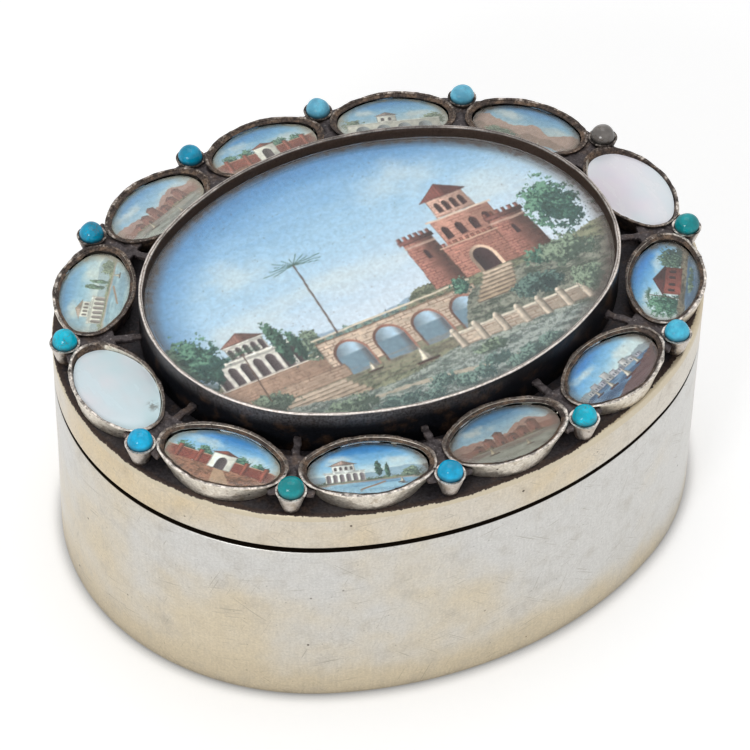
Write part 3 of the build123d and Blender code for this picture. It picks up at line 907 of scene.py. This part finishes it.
def paint_small(x, y, number):
    """One of ten little views, each a few buildings, trees or boats under a blue sky."""
    p = Painting(x, y, seed=60 + 5 * number, edge=0.09, unsteady=0.11)
    lean = {5: 0.25, 6: -0.3}.get(number, 0.05)
    p.sky((48, 124, 198), (128, 184, 222), (208, 222, 226), horizon=-0.6, top=3.9, lean=lean)
    p.cloud(-3.0, 2.0, 2.6, 0.9, (232, 232, 226), 0.7)
    p.cloud(3.4, 1.2, 2.4, 0.8, (232, 232, 226), 0.6)
    if number in (2, 10):
        # Orchard behind a red wall with a white gate
        for k in range(5):
            p.foliage(-4.6 + 2.3 * k, 0.1, 1.1, 1.0 + 0.3 * (k % 2), *LEAVES, 0.15)
        p.ground(-1.2, (172, 122, 98), (118, 84, 66), 0.6)
        p.wall(-6.6, 6.6, -1.3, 0.1, (154, 78, 64), 0, 0.2, (0.5, 0.26, (92, 42, 38), 0.6))
        p.stroke(-6.6, 0.15, 6.6, 0.15, 0.14, (206, 150, 126))
        for place in (-5.2, -2.7, 2.9, 5.3):
            p.wall(place - 0.3, place + 0.3, -1.4, 0.6, (168, 92, 76), 0, 0.5)
        p.wall(-1.3, 1.5, -1.5, 0.9, (234, 230, 220), 0, 0.2)
        p.opening(0.1, -1.5, 0.4, 0.6, HOLLOW, 0.2)
        p.roof(-1.6, 1.8, 0.9, 1.5, (150, 84, 70), 0.3)
        path = np.abs(p.x - 0.1 + 0.5 * (p.y + 1.4)) - 0.5 + 0.4 * (p.y + 1.5)
        p.lay(0.7 * p.inside(path) * ramp(-p.y, 1.45, 1.6), (206, 176, 146))
    elif number in (3, 12):
        # White villa beside a lake, two cypresses and a jetty
        p.hills(-1.0, 1.6, 3.0, (150, 176, 194), 4)
        p.ground(-1.2, (134, 142, 112), (84, 98, 80), 0.6)
        p.arcade(-5.0, -0.4, -1.4, 0.2, 6, (236, 234, 228), (110, 100, 104), 0.0)
        p.wall(-4.0, -1.4, 0.2, 1.2, (228, 226, 222), 0, 0.15)
        for k in range(4):
            p.opening(-3.6 + 0.6 * k, 0.4, 0.95, 0.16, HOLLOW)
        p.roof(-4.4, -1.0, 1.2, 1.9, (190, 160, 148), 0.3)
        p.cypress(1.2, -1.4, 3.0)
        p.cypress(2.2, -1.4, 2.3)
        p.foliage(4.8, -0.9, 1.3, 0.8, *SAGE, 0.15)
        p.water(-1.6, -4.2, (156, 196, 218), (106, 150, 184))
        p.lay(0.6 * p.between(-6, 6, -1.75, -1.55), (176, 128, 104))
        p.stroke(-1.2, -2.9, 1.6, -2.0, 0.22, (150, 116, 96))
        p.boat(3.6, -2.4, 0.6, (92, 56, 48), (232, 222, 204))
    elif number in (4, 11):
        # Red hills over a bay
        p.hills(-0.6, 2.6, 2.4, (170, 128, 116), 3)
        p.hills(-1.2, 2.2, 1.4, (138, 88, 76), 9)
        for k in range(6):
            left, eaves = -4.4 + 1.5 * k, -0.3 + 0.5 * (k % 3)
            p.wall(left, left + 1.2, -1.3, eaves, (150, 88, 76), 0, 0.5, (0.4, 0.2, (92, 50, 44), 0.6))
            p.roof(left - 0.1, left + 1.3, eaves, eaves + 0.4, (108, 62, 56))
            p.opening(left + 0.6, -1.2, -0.6, 0.16, (60, 40, 38))
        p.foliage(-3.4, -1.3, 1.6, 0.4, (132, 120, 92), (74, 66, 54), 0.13)
        p.foliage(2.8, -1.3, 2.2, 0.4, (132, 120, 92), (74, 66, 54), 0.13)
        p.water(-1.2, -4.2, (152, 158, 148), (108, 106, 100))
        p.lay(0.5 * p.between(-7, 7, -1.8, -1.2) * p.field(0.6, 3, wide=3), (130, 84, 72))
        p.boat(-2.6, -2.0, 0.8, (72, 48, 42), (206, 190, 160))
        p.boat(1.8, -2.5, 0.6, (72, 48, 42), (206, 190, 160))
    elif number == 5:
        # Boats off a low grey town
        p.hills(-0.9, 1.5, 1.6, (148, 158, 166), 4)
        for k, tall in enumerate((0.7, 1.2, 0.8, 1.5, 1.0, 0.6, 1.3, 0.8, 0.5)):
            left = -5.2 + 1.1 * k
            p.wall(left, left + 1.0, -0.9, -0.9 + tall, (190 - 6 * (k % 3), 186 - 6 * (k % 3), 186), 0, 0.3)
            p.opening(left + 0.3, -0.7, -0.35, 0.1, (88, 92, 104))
            p.opening(left + 0.7, -0.7, -0.35, 0.1, (88, 92, 104))
        p.water(-0.9, -4.2, (112, 146, 178), (62, 86, 118))
        for k, (place, size) in enumerate(((-4.2, 0.7), (-2.0, 0.9), (0.8, 1.1), (3.2, 0.8), (4.8, 0.5))):
            p.boat(place, -1.5 - 0.3 * (k % 3), size, (92, 42, 44), (216, 206, 192))
        p.lay(0.8 * p.inside(p.y + 2.6 - 0.25 * p.x - 0.4 * p.field(0.8, 3)), (104, 62, 56))
    elif number == 6:
        # Red lodge under tall trees
        p.foliage(-4.0, -0.6, 1.8, 2.2, *LEAVES, 0.15)
        p.foliage(4.2, -0.8, 2.2, 1.8, (106, 132, 112), (44, 62, 62), 0.15)
        p.ground(-1.7, (132, 122, 104), (78, 74, 70), 0.6)
        p.wall(-2.0, 2.6, -1.9, 0.1, (138, 76, 68), 0, 0.4, (0.4, 0.24, (86, 42, 40), 0.5))
        p.roof(-2.4, 3.0, 0.1, 1.5, (92, 50, 50), 0.3)
        for place in (-1.3, -0.3, 0.9, 1.9):
            p.opening(place, -1.2, -0.4, 0.22, (50, 34, 36))
        p.palm(-2.7, -2.0, 3.8, (54, 88, 70), (98, 78, 66))
        p.water(-2.5, -4.2, (120, 152, 182), (76, 100, 126))
        p.foliage(0.6, -3.0, 2.2, 0.35, *SAGE, 0.15)
    elif number == 8:
        # Rosy hills and a fishing boat
        p.hills(-0.8, 2.8, 2.0, (186, 150, 138), 6)
        p.hills(-1.4, 1.4, 1.0, (150, 120, 108), 8)
        p.foliage(-2.8, -1.4, 2.2, 0.8, *SAGE, 0.15)
        p.water(-1.9, -4.2, (142, 180, 208), (104, 142, 176))
        p.boat(2.2, -2.4, 0.7, (92, 56, 48), (226, 214, 196))
    else:
        # Pale bridge with a toll house
        p.foliage(-4.8, 0.0, 1.4, 1.1, *SAGE, 0.15)
        p.foliage(5.0, 0.0, 1.4, 0.9, *SAGE, 0.15)
        p.water(-1.2, -4.2, (186, 196, 196), (140, 152, 158))
        p.wall(-5.8, 5.8, -1.6, 0.0, (210, 206, 196), 0, 0.2)
        for k in range(4):
            p.opening(-3.9 + 2.6 * k, -1.8, -0.35, 0.85, (124, 130, 136))
        p.stroke(-5.8, 0.05, 5.8, 0.05, 0.14, (236, 232, 224))
        p.wall(-1.9, 0.5, 0.1, 1.3, (222, 218, 210), 0, 0.25)
        p.opening(-1.2, 0.3, 0.9, 0.2, HOLLOW)
        p.opening(-0.3, 0.3, 0.9, 0.2, HOLLOW)
        p.roof(-2.2, 0.8, 1.3, 1.9, (160, 140, 134), 0.3)
        p.ground(-2.9, (176, 170, 150), (132, 128, 112), 0.6)
    murky = {4: 0.35, 8: 0.3, 9: 0.25, 10: 0.2, 11: 0.35, 12: 0.3}.get(number, 0.0)
    haze = {4: (120, 104, 90), 12: (214, 206, 178), 11: (186, 180, 176)}.get(number, (158, 150, 138))
    p.lay(murky * np.ones(len(x)), haze)
    p.age(0.14, 6.83, 4.21, (150, 140, 124) if number in (2, 9, 10, 11, 12) else (84, 70, 60))
    return p


centre_leaf, *leaf_points = plaque("centre_painting", BEZEL_LENGTH - BEZEL_WALL - PLAQUE_FIT,
                                   BEZEL_WIDTH - BEZEL_WALL - PLAQUE_FIT, BEZEL_JOIN, CENTRE_FACE,
                                   CENTRE_THICK, CENTRE_GRID)
keep_paint(centre_leaf, paint_river(*leaf_points))
dress(centre_leaf, gouache)
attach(centre_leaf, "lid")
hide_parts("centre_miniature")


# A flat cover glass lies over the plaque, held by the rubbed rim. It is clear, with its upper edge
# bevelled, and the light of the lamps goes straight through it.
def cover_glass(name, colour, roughness):
    made, tree, shader, where = finish_named(name)
    smear = patches(where, 2.5, 5.0, seed=2.0)
    clear = put(tree, "BsdfTransparent", {"Color": (*colour, 1)})
    wire(shader, {"Base Color": (*colour, 1), "Transmission Weight": 1.0, "IOR": 1.34,
                  "Roughness": ramp_of(smear, 0.5, 0.8, roughness, roughness + 0.05)})
    lamp_rays = put(tree, "LightPath", out="Is Shadow Ray")
    both = put(tree, "MixShader", {0: lamp_rays, 1: shader.outputs[0], 2: clear})
    wire(tree.nodes["Material Output"], {"Surface": both})
    return made


dress(node["centre_glass"], cover_glass("flat cover glass", (0.985, 0.99, 0.99), 0.0))


# Twelve small oval collets stand round the tall one, soldered to the plate, each flared from its
# foot, more at its ends than at its sides, and filed by hand. Ten have a lip rubbed over their
# glass. Their rims and the walls that face out are rubbed pale, a little more at the front as a
# painted highlight, and the rest is dark, darkest in crevices, partly soiling and partly painted shade.
RING_INSET, SETTINGS, PEARLS = 4.75, 12, (1, 7)
COLLET_LENGTH, COLLET_WIDTH, COLLET_JOIN = 7.98, 4.9, 53.0
COLLET_HEIGHT, END_FLARE, SIDE_FLARE, COLLET_WALL = 2.85, 1.9, 0.65, 0.4
COLLET_ROUNDING, COLLET_AROUND = 0.14, 180
ring_line = oval_line(HALF_LENGTH - RING_INSET, HALF_WIDTH - RING_INSET, PLAN_JOIN, 2 * SETTINGS)


def ring_place(step, outset=0.0):
    """Place on the ring, counted from the -X end against the clock; its +Y points outwards."""
    x, y, outward = ring_line[round(SETTINGS + 2 * step) % (2 * SETTINGS)]
    place = Matrix.Translation((x * MM, y * MM, PLATE_TOP * MM))
    return place @ Matrix.Rotation(radians(outward - 90), 4, "Z") @ Matrix.Translation((0, outset * MM, 0))


def copied(piece, name, place):
    """Copy with its own mesh, set in place."""
    made = piece.copy()
    made.data = piece.data.copy()
    made.name = made.data.name = name
    made.data.transform(place)
    bpy.context.scene.collection.objects.link(made)
    return made


def collet_ring(inset, height):
    """Half length, half width and height of a collet's outside, drawn in by inset."""
    share = 1 - height / COLLET_HEIGHT
    return COLLET_LENGTH - inset - END_FLARE * share, COLLET_WIDTH - inset - SIDE_FLARE * share, height


collet_profile = [(0, height) for height in np.linspace(0, COLLET_HEIGHT - COLLET_ROUNDING, 12)]
collet_profile += rounded_top(COLLET_ROUNDING, COLLET_HEIGHT, 18, start=18)
collet_profile += [(COLLET_WALL - inset, height)
                   for inset, height in reversed(rounded_top(COLLET_ROUNDING, COLLET_HEIGHT, 18))]
plain_profile = collet_profile + [(COLLET_WALL, height) for height in (2.5, 2.2, 1.8, 0.0)]
lipped_profile = collet_profile + [(0.50, 2.72), (0.62, 2.65), (0.73, 2.57), (0.71, 2.50), (0.58, 2.42),
                                   (COLLET_WALL, 2.2), (COLLET_WALL, 0.0)]
plain_collet, lipped_collet = (
    draw_up("collet", [collet_ring(*ring) for ring in profile], COLLET_JOIN, COLLET_AROUND)
    for profile in (plain_profile, lipped_profile))
for collet in (plain_collet, lipped_collet):
    note(collet, "outward", [vertex.co.y / MM for vertex in collet.data.vertices])


def setting_silver(name, rim, pale, dark, stain, top, foot, inward=0.0):
    """Hand-filed silver: a thin crest rubbed bright here and there, pale where it faces out down to
    foot mm, and grey-brown with oxide where it faces in. Its crest is browner by inward on its inner half.
    Crest and pale walls are a little brighter towards the front, as a painted highlight, and crevices
    are nearly black, partly soiling and partly painted shade."""
    made, tree, shader, where = finish_named(name)
    high, normal = height_of(where), way_it_faces(tree)
    level = height_of(normal)
    fine = patches(where, 0.28, 5.0, seed=6.0, rough=0.7)
    broad = patches(where, 1.3, 5.0, seed=4.0, rough=0.6)
    way_out = vector_maths("NORMALIZE", vector_maths("MULTIPLY", where, (1.0, 1.45, 0.0)))
    out = toward(normal, way_out)
    front = toward(where, (-0.3, -1.0, 0.0))
    # Wear that comes and goes, with a bias to the front that paints a highlight on crests and pale walls
    worn = plus(ramp_of(front, -30, 25, -0.12, 0.16), broad)
    crest = times(ramp_of(level, 0.3, 0.75), ramp_of(high, top - 0.12, top - 0.01))
    crest = times(crest, ramp_of(plus(worn, times(fine, 0.5)), 0.6, 0.9))
    inner_half = times(ramp_of(noted(tree, "outward"), 1.5, -1.5), inward)
    inner_half = times(inner_half, ramp_of(fine, 0.66, 0.58))
    crest = times(crest, maths("SUBTRACT", 1.0, inner_half))
    rubbed = ramp_of(plus(out, times(worn, 0.6)), 0.55, 0.85)
    rubbed = times(rubbed, ramp_of(plus(high, fine), PLATE_TOP + foot, PLATE_TOP + 2 * foot))
    rubbed = times(rubbed, ramp_of(level, 0.75, 0.45))
    colour = tint(ramp_of(broad, 0.42, 0.66), dark, stain)
    colour = shaded(colour, ramp_of(fine, 0.35, 0.65), (0.55, 0.52, 0.5), (1.5, 1.45, 1.4))
    soiled = ramp_of(patches(where, 1.0, 6.0, seed=21.0, rough=0.68), 0.5, 0.68, 0.0, 0.55)
    colour = tint(rubbed, colour, tint(soiled, pale, (0.34, 0.25, 0.15)))
    nicked = ramp_of(patches(where, 0.7, 4.0, seed=14.0, rough=0.65), 0.36, 0.62)
    dull, bright = ([share * part for part in rim] for share in (0.42, 1.12))
    colour = tint(crest, colour, tint(nicked, dull, bright))
    colour = shaded(colour, ramp_of(fine, 0.3, 0.7), (0.78, 0.76, 0.74), (1.13, 1.13, 1.13))
    # Crevices within 0.45 mm are darkened nearly black: soiling, and painted shade where parts meet
    crevice_soil_and_shade = put(tree, "AmbientOcclusion", {"Distance": 0.45 * MM}, out="AO", samples=6)
    colour = tint(ramp_of(crevice_soil_and_shade, 0.75, 0.3), colour, (0.02, 0.016, 0.014))
    marks = mask_from(tree, pits, Place=where, Apart=1.1, Radius=0.12)
    colour = tint(marks, colour, (0.05, 0.035, 0.025))
    wire(shader, {"Base Color": colour, "Roughness": ramp_of(fine, 0.3, 0.75, 0.34, 0.54),
                  "Metallic": larger(larger(crest, rubbed), 0.2), "Specular IOR Level": 0.2,
                  "Normal": bump(maths("SUBTRACT", fine, marks), 0.05)})
    return made


collet_finish = setting_silver("silver of the collets", rim=(0.80, 0.74, 0.68), pale=(0.77, 0.72, 0.63),
                               dark=(0.060, 0.047, 0.042), stain=(0.160, 0.112, 0.080),
                               top=PLATE_TOP + COLLET_HEIGHT, foot=0.35, inward=0.85)
for number in range(1, SETTINGS + 1):
    collet = copied(plain_collet if number in PEARLS else lipped_collet, f"setting_{number:02d}",
                    ring_place(number - 1))
    for reach, size in ((0.12, 2.2), (0.055, 0.6)):
        by_hand(collet, reach, size, seed=number, only=lambda place, normal: place.z > PLATE_TOP + 0.3)
    dress(collet, collet_finish)
    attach(collet, "lid")
    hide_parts(f"collet_{number:02d}")
bpy.data.objects.remove(plain_collet)
bpy.data.objects.remove(lipped_collet)


# Ten of the small collets hold plaques like the large one, each with a little scene. The pictures
# in front stand with their tops towards the middle of the lid, and those behind with theirs out.
SMALL_FACE, SMALL_THICK, SMALL_GRID = 1.80, 0.5, 0.09
for number in range(1, SETTINGS + 1):
    if number in PEARLS:
        continue
    long_half, short_half, _ = collet_ring(COLLET_WALL + PLAQUE_FIT, SMALL_FACE)
    foot_long, foot_short, _ = collet_ring(COLLET_WALL + PLAQUE_FIT, SMALL_FACE - SMALL_THICK)
    leaf, x, y = plaque(f"painting_{number:02d}", long_half, short_half, COLLET_JOIN, SMALL_FACE, SMALL_THICK,
                        SMALL_GRID, foot=(foot_long / long_half, foot_short / short_half))
    turned = -1 if number < 7 else 1
    keep_paint(leaf, paint_small(turned * x, turned * y, number))
    leaf.data.transform(ring_place(number - 1))
    dress(leaf, gouache)
    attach(leaf, "lid")
    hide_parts(f"miniature_{number:02d}")


# Each of the ten has a bevelled cover glass of its own, held by the rubbed lip of its collet. It is a
# little greenish, and less clear than the large one.
dress(node["setting_glasses"], cover_glass("bevelled cover glass", (0.95, 0.975, 0.96), 0.02))


# The two settings at the ends of the lid hold mother-of-pearl, a low polished dome with soft bands
# of pink, green and blue in its white, and a small brown stain near its edge.
def mother_of_pearl(name, body, cool, warm, seed, spot):
    made, _, shader, where = finish_named(name)
    drift = patches(where, 9.0, 2.0, seed=seed)
    bands = patches(where, 2.4, 4.0, stretch=(1.0, 0.35, 1.0), seed=seed + 3)
    colour = tint(ramp_of(drift, 0.3, 0.7), cool, warm)
    colour = tint(ramp_of(bands, 0.35, 0.75, 0.15, 0.85), colour, body)
    away = vector_maths("DISTANCE", where, spot, "Value")
    stain = times(ramp_of(away, 1.1, 0.2), ramp_of(patches(where, 0.5), 0.4, 0.6))
    colour = tint(times(stain, 0.7), colour, (0.12, 0.10, 0.06))
    wire(shader, {"Base Color": colour, "Roughness": ramp_of(bands, 0.3, 0.7, 0.16, 0.30),
                  "Normal": bump(patches(where, 1.2, 3.0), 0.03, 0.3), "Coat Weight": 0.4,
                  "Coat Roughness": 0.08})
    return made


left_pearl = mother_of_pearl("mother-of-pearl at the left", body=(0.745, 0.91, 0.97), cool=(0.58, 0.85, 0.90),
                             warm=(0.90, 0.86, 0.90), seed=1.0, spot=(-33.0, -4.6, 33.3))
right_pearl = mother_of_pearl("mother-of-pearl at the right", body=(0.98, 0.96, 1.0), cool=(0.83, 0.95, 1.0),
                              warm=(0.98, 0.88, 1.0), seed=6.0, spot=(40.0, 8.0, 30.0))
dress(node["pearl_01"], left_pearl)
dress(node["pearl_07"], right_pearl)


# Flat struts run from the tall collet to each gap in the ring, where lumps of solder fill the gap
# nearly up to the rims. They are grey-brown, and rubbed along their edges.
struts = bpy.data.objects.new("struts", node["gallery_struts"].data.copy())
bpy.context.scene.collection.objects.link(struts)
LUMP_TALL, SKIN_VOXEL = 0.55, 0.1
lumps = []
for number in range(1, SETTINGS + 1):
    for outset, wide, long, up in ((0.5, 0.75, 1.9, 2.0), (2.1, 1.5, 0.9, 1.6)):
        bpy.ops.mesh.primitive_uv_sphere_add(segments=20, ring_count=12, radius=MM)
        lump = bpy.context.object
        lump.data.transform(ring_place(number - 0.5, outset) @ Matrix.Translation((0, 0, up * MM))
                            @ Matrix.Diagonal((wide, long, LUMP_TALL, 1)))
        lumps.append(lump)
bpy.ops.object.select_all(action="DESELECT")
for piece in (*lumps, struts):
    piece.select_set(True)
bpy.context.view_layer.objects.active = struts
bpy.ops.object.join()
remesh = struts.modifiers.new("one skin", "REMESH")
remesh.mode, remesh.voxel_size = "VOXEL", SKIN_VOXEL * MM
bpy.ops.object.modifier_apply(modifier="one skin")
smooth = struts.modifiers.new("flowed", "SMOOTH")
smooth.factor, smooth.iterations = 0.5, 2
bpy.ops.object.modifier_apply(modifier="flowed")
by_hand(struts, reach=0.18, size=0.8, seed=5, swell=0.05)
bpy.ops.object.shade_smooth()
strut_grey = oxidised("oxidised silver of the struts", black=(0.080, 0.068, 0.070),
                      brown=(0.120, 0.085, 0.066), bare=(0.42, 0.38, 0.36), wear=0.08)
dress(struts, strut_grey)
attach(struts, "lid")
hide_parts("gallery_struts")


# A small cone of turned silver stands outside each gap and holds a stone. Its edges are softened by
# wear, and its thin rim is rubbed bright, a little more at the front as a painted highlight.
CUP_OUTSET, CUP_HEIGHT = 3.45, 2.8
cup_finish = setting_silver("silver of the cups", rim=(0.76, 0.71, 0.66), pale=(0.60, 0.55, 0.50),
                            dark=(0.050, 0.042, 0.040), stain=(0.150, 0.110, 0.085),
                            top=PLATE_TOP + CUP_HEIGHT, foot=0.7)
for number in range(1, SETTINGS + 1):
    cup = node[f"stone_cup_{number:02d}"]
    weld = cup.modifiers.new("weld", "WELD")
    weld.merge_threshold = 0.001 * MM
    soften = cup.modifiers.new("soften", "BEVEL")
    soften.width, soften.segments = 0.09 * MM, 3
    soften.limit_method, soften.angle_limit = "ANGLE", radians(40)
    dress(cup, cup_finish)


# The stones are small cabochons, cut by hand a little unevenly and polished. Most are turquoise, in
# blues and greens, and one is grey.
STONE_RADIUS, STONE_STAND, STONE_BURIED = 1.48, 0.2, 0.7


def stone_colour(name, main, vein, shine):
    """Polished stone, mottled, with a few brown threads of its matrix, and painted shade near its cup."""
    made, _, shader, where = finish_named(name)
    cloudy = patches(where, 1.7, 5.0, seed=2.0, rough=0.6)
    light, deep = [min(1, 1.2 * part) for part in main], [0.72 * part for part in main]
    colour = tint(ramp_of(cloudy, 0.35, 0.7), deep, light)
    thread = maths("ABSOLUTE", maths("SUBTRACT", patches(where, 1.6, 4.0, seed=7.0), 0.5))
    colour = tint(times(ramp_of(thread, 0.014, 0.002), vein), colour, (0.10, 0.07, 0.04))
    # Painted shade: the stone is darkened nearly black low down, where it sinks into its cup
    painted_cup_shade = ramp_of(height_of(where), PLATE_TOP + 3.5, PLATE_TOP + CUP_HEIGHT, 0.0, 0.8)
    wire(shader, {"Base Color": tint(painted_cup_shade, colour, (0.012, 0.014, 0.014)),
                  "Roughness": ramp_of(cloudy, 0.3, 0.7, 0.16, 0.26), "Specular IOR Level": 0.0,
                  "Coat Weight": shine, "Coat Roughness": 0.09})
    return made


sky_blue, bright_blue, deep_blue = (0.006, 0.50, 0.86), (0.09, 0.62, 0.95), (0.004, 0.38, 0.62)
pale_blue, green_blue, sea_green = (0.18, 0.62, 0.88), (0.004, 0.55, 0.74), (0.006, 0.37, 0.40)
grey_brown = (0.20, 0.18, 0.165)
stones = (sky_blue, sea_green, sky_blue, green_blue, bright_blue, sea_green,
          grey_brown, pale_blue, pale_blue, deep_blue, deep_blue, green_blue)
GREEN, GREY, VEINED = (2, 6, 12), 7, (4, 7, 11, 12)
for number, main in enumerate(stones, 1):
    bpy.ops.mesh.primitive_uv_sphere_add(segments=40, ring_count=24, radius=STONE_RADIUS * MM)
    stone = bpy.context.object
    stone.name = stone.data.name = f"cabochon_{number:02d}"
    bpy.ops.object.mode_set(mode="EDIT")
    bpy.ops.mesh.select_all(action="SELECT")
    bpy.ops.mesh.bisect(plane_co=(0, 0, 0), plane_no=(0, 0, 1), clear_inner=True)
    bpy.ops.mesh.select_all(action="DESELECT")
    bpy.ops.mesh.select_non_manifold()
    bpy.ops.mesh.extrude_region_move(TRANSFORM_OT_translate={"value": (0, 0, -STONE_BURIED * MM)})
    bpy.ops.mesh.edge_face_add()
    bpy.ops.object.mode_set(mode="OBJECT")
    bpy.ops.object.shade_smooth_by_angle(angle=radians(50))
    girdle = CUP_HEIGHT + STONE_STAND
    stone.data.transform(ring_place(number - 0.5, CUP_OUTSET) @ Matrix.Translation((0, 0, girdle * MM)))
    by_hand(stone, reach=-0.12, size=1.6, seed=number, only=lambda place, normal: place.z > PLATE_TOP + girdle)
    name, slot = ("grey stone", "grey_stone") if number == GREY else ("turquoise", "blue_turquoise")
    polish = stone_colour(f"{name} {number}", main, vein=0.6 if number in VEINED else 0.15,
                          shine=1.0 if number == GREY else 0.6)
    dress(stone, polish)
    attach(stone, "lid")
    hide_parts(f"stone_{number:02d}")


# The box stands on a white table top that runs out of sight, with a painted shadow round its foot,
# under a soft white sky. The top lies a hair below the box, so that no two faces share one plane.
TABLE_SIZE, TABLE_HEIGHT = 6.0, -0.02 * MM
bpy.ops.mesh.primitive_plane_add(size=TABLE_SIZE, location=(0, 0, TABLE_HEIGHT))
table_top = bpy.context.object
table_top.name = "table_top"


def seen_white(tree):
    """1 for the rays that show the white background: from the camera, mirrored, and through glass."""
    path = tree.nodes.new("ShaderNodeLightPath").outputs
    return larger(larger(path["Is Camera Ray"], path["Is Glossy Ray"]), path["Is Transmission Ray"])


white, tree, shader, where = finish_named("white table top")
# Painted contact shadow: the top's colour and glow are darkened where the box is near
painted_contact_shadow = put(tree, "AmbientOcclusion", {"Distance": 2.2 * MM}, out="AO", samples=12)
painted_contact_shadow = ramp_of(painted_contact_shadow, 0.35, 0.95, 0.46, 1.0)
far = ramp_of(vector_maths("LENGTH", where, out="Value"), 150, 900, 0.38, 0.75)
glow = put(tree, "Emission", {"Color": (1, 1, 1, 1), "Strength": times(times(seen_white(tree), painted_contact_shadow), far)})
wire(shader, {"Base Color": tint(painted_contact_shadow, (0.0, 0.0, 0.0), (0.86, 0.86, 0.86)), "Roughness": 0.9,
              "Specular IOR Level": 0.0})
wire(tree.nodes["Material Output"], {"Surface": put(tree, "AddShader", {0: shader.outputs[0], 1: glow})})
table_top.data.materials.append(white)

world = bpy.data.worlds.new("studio")
bpy.context.scene.world = world
world.use_nodes = True
tree = world.node_tree
wire(tree.nodes["Background"], {"Strength": plus(0.55, times(seen_white(tree), 0.45)), "Color": (1, 1, 1, 1)})


# A small lamp at the front left and a broad one above light the box softly, at a plain level
def lamp(name, place, size, power, aim=(0, 0, 0.02)):
    bpy.ops.object.light_add(type="AREA", location=place)
    made = bpy.context.object
    made.name, made.data.size, made.data.energy = name, size, power
    made.rotation_euler = (Vector(place) - Vector(aim)).to_track_quat("Z", "Y").to_euler()


lamp("key_lamp", (-0.60, -0.42, 0.36), size=0.2, power=1.45)
lamp("top_lamp", (0.1, 0.15, 0.9), size=0.6, power=1.4)

# The camera looks down at the lid from the front left, from half a metre away
CAMERA_PLACE, CAMERA_TURNS, LENS = (-0.177764, -0.292887, 0.355668), (45.437, -0.901, -30.289), 190.58
bpy.ops.object.camera_add(location=CAMERA_PLACE)
camera = bpy.context.object
camera.rotation_euler = [radians(turn) for turn in CAMERA_TURNS]
camera.data.lens, camera.data.sensor_width, camera.data.clip_start = LENS, 36.0, 0.01
bpy.context.scene.camera = camera
bpy.context.scene.view_settings.view_transform = "Standard"
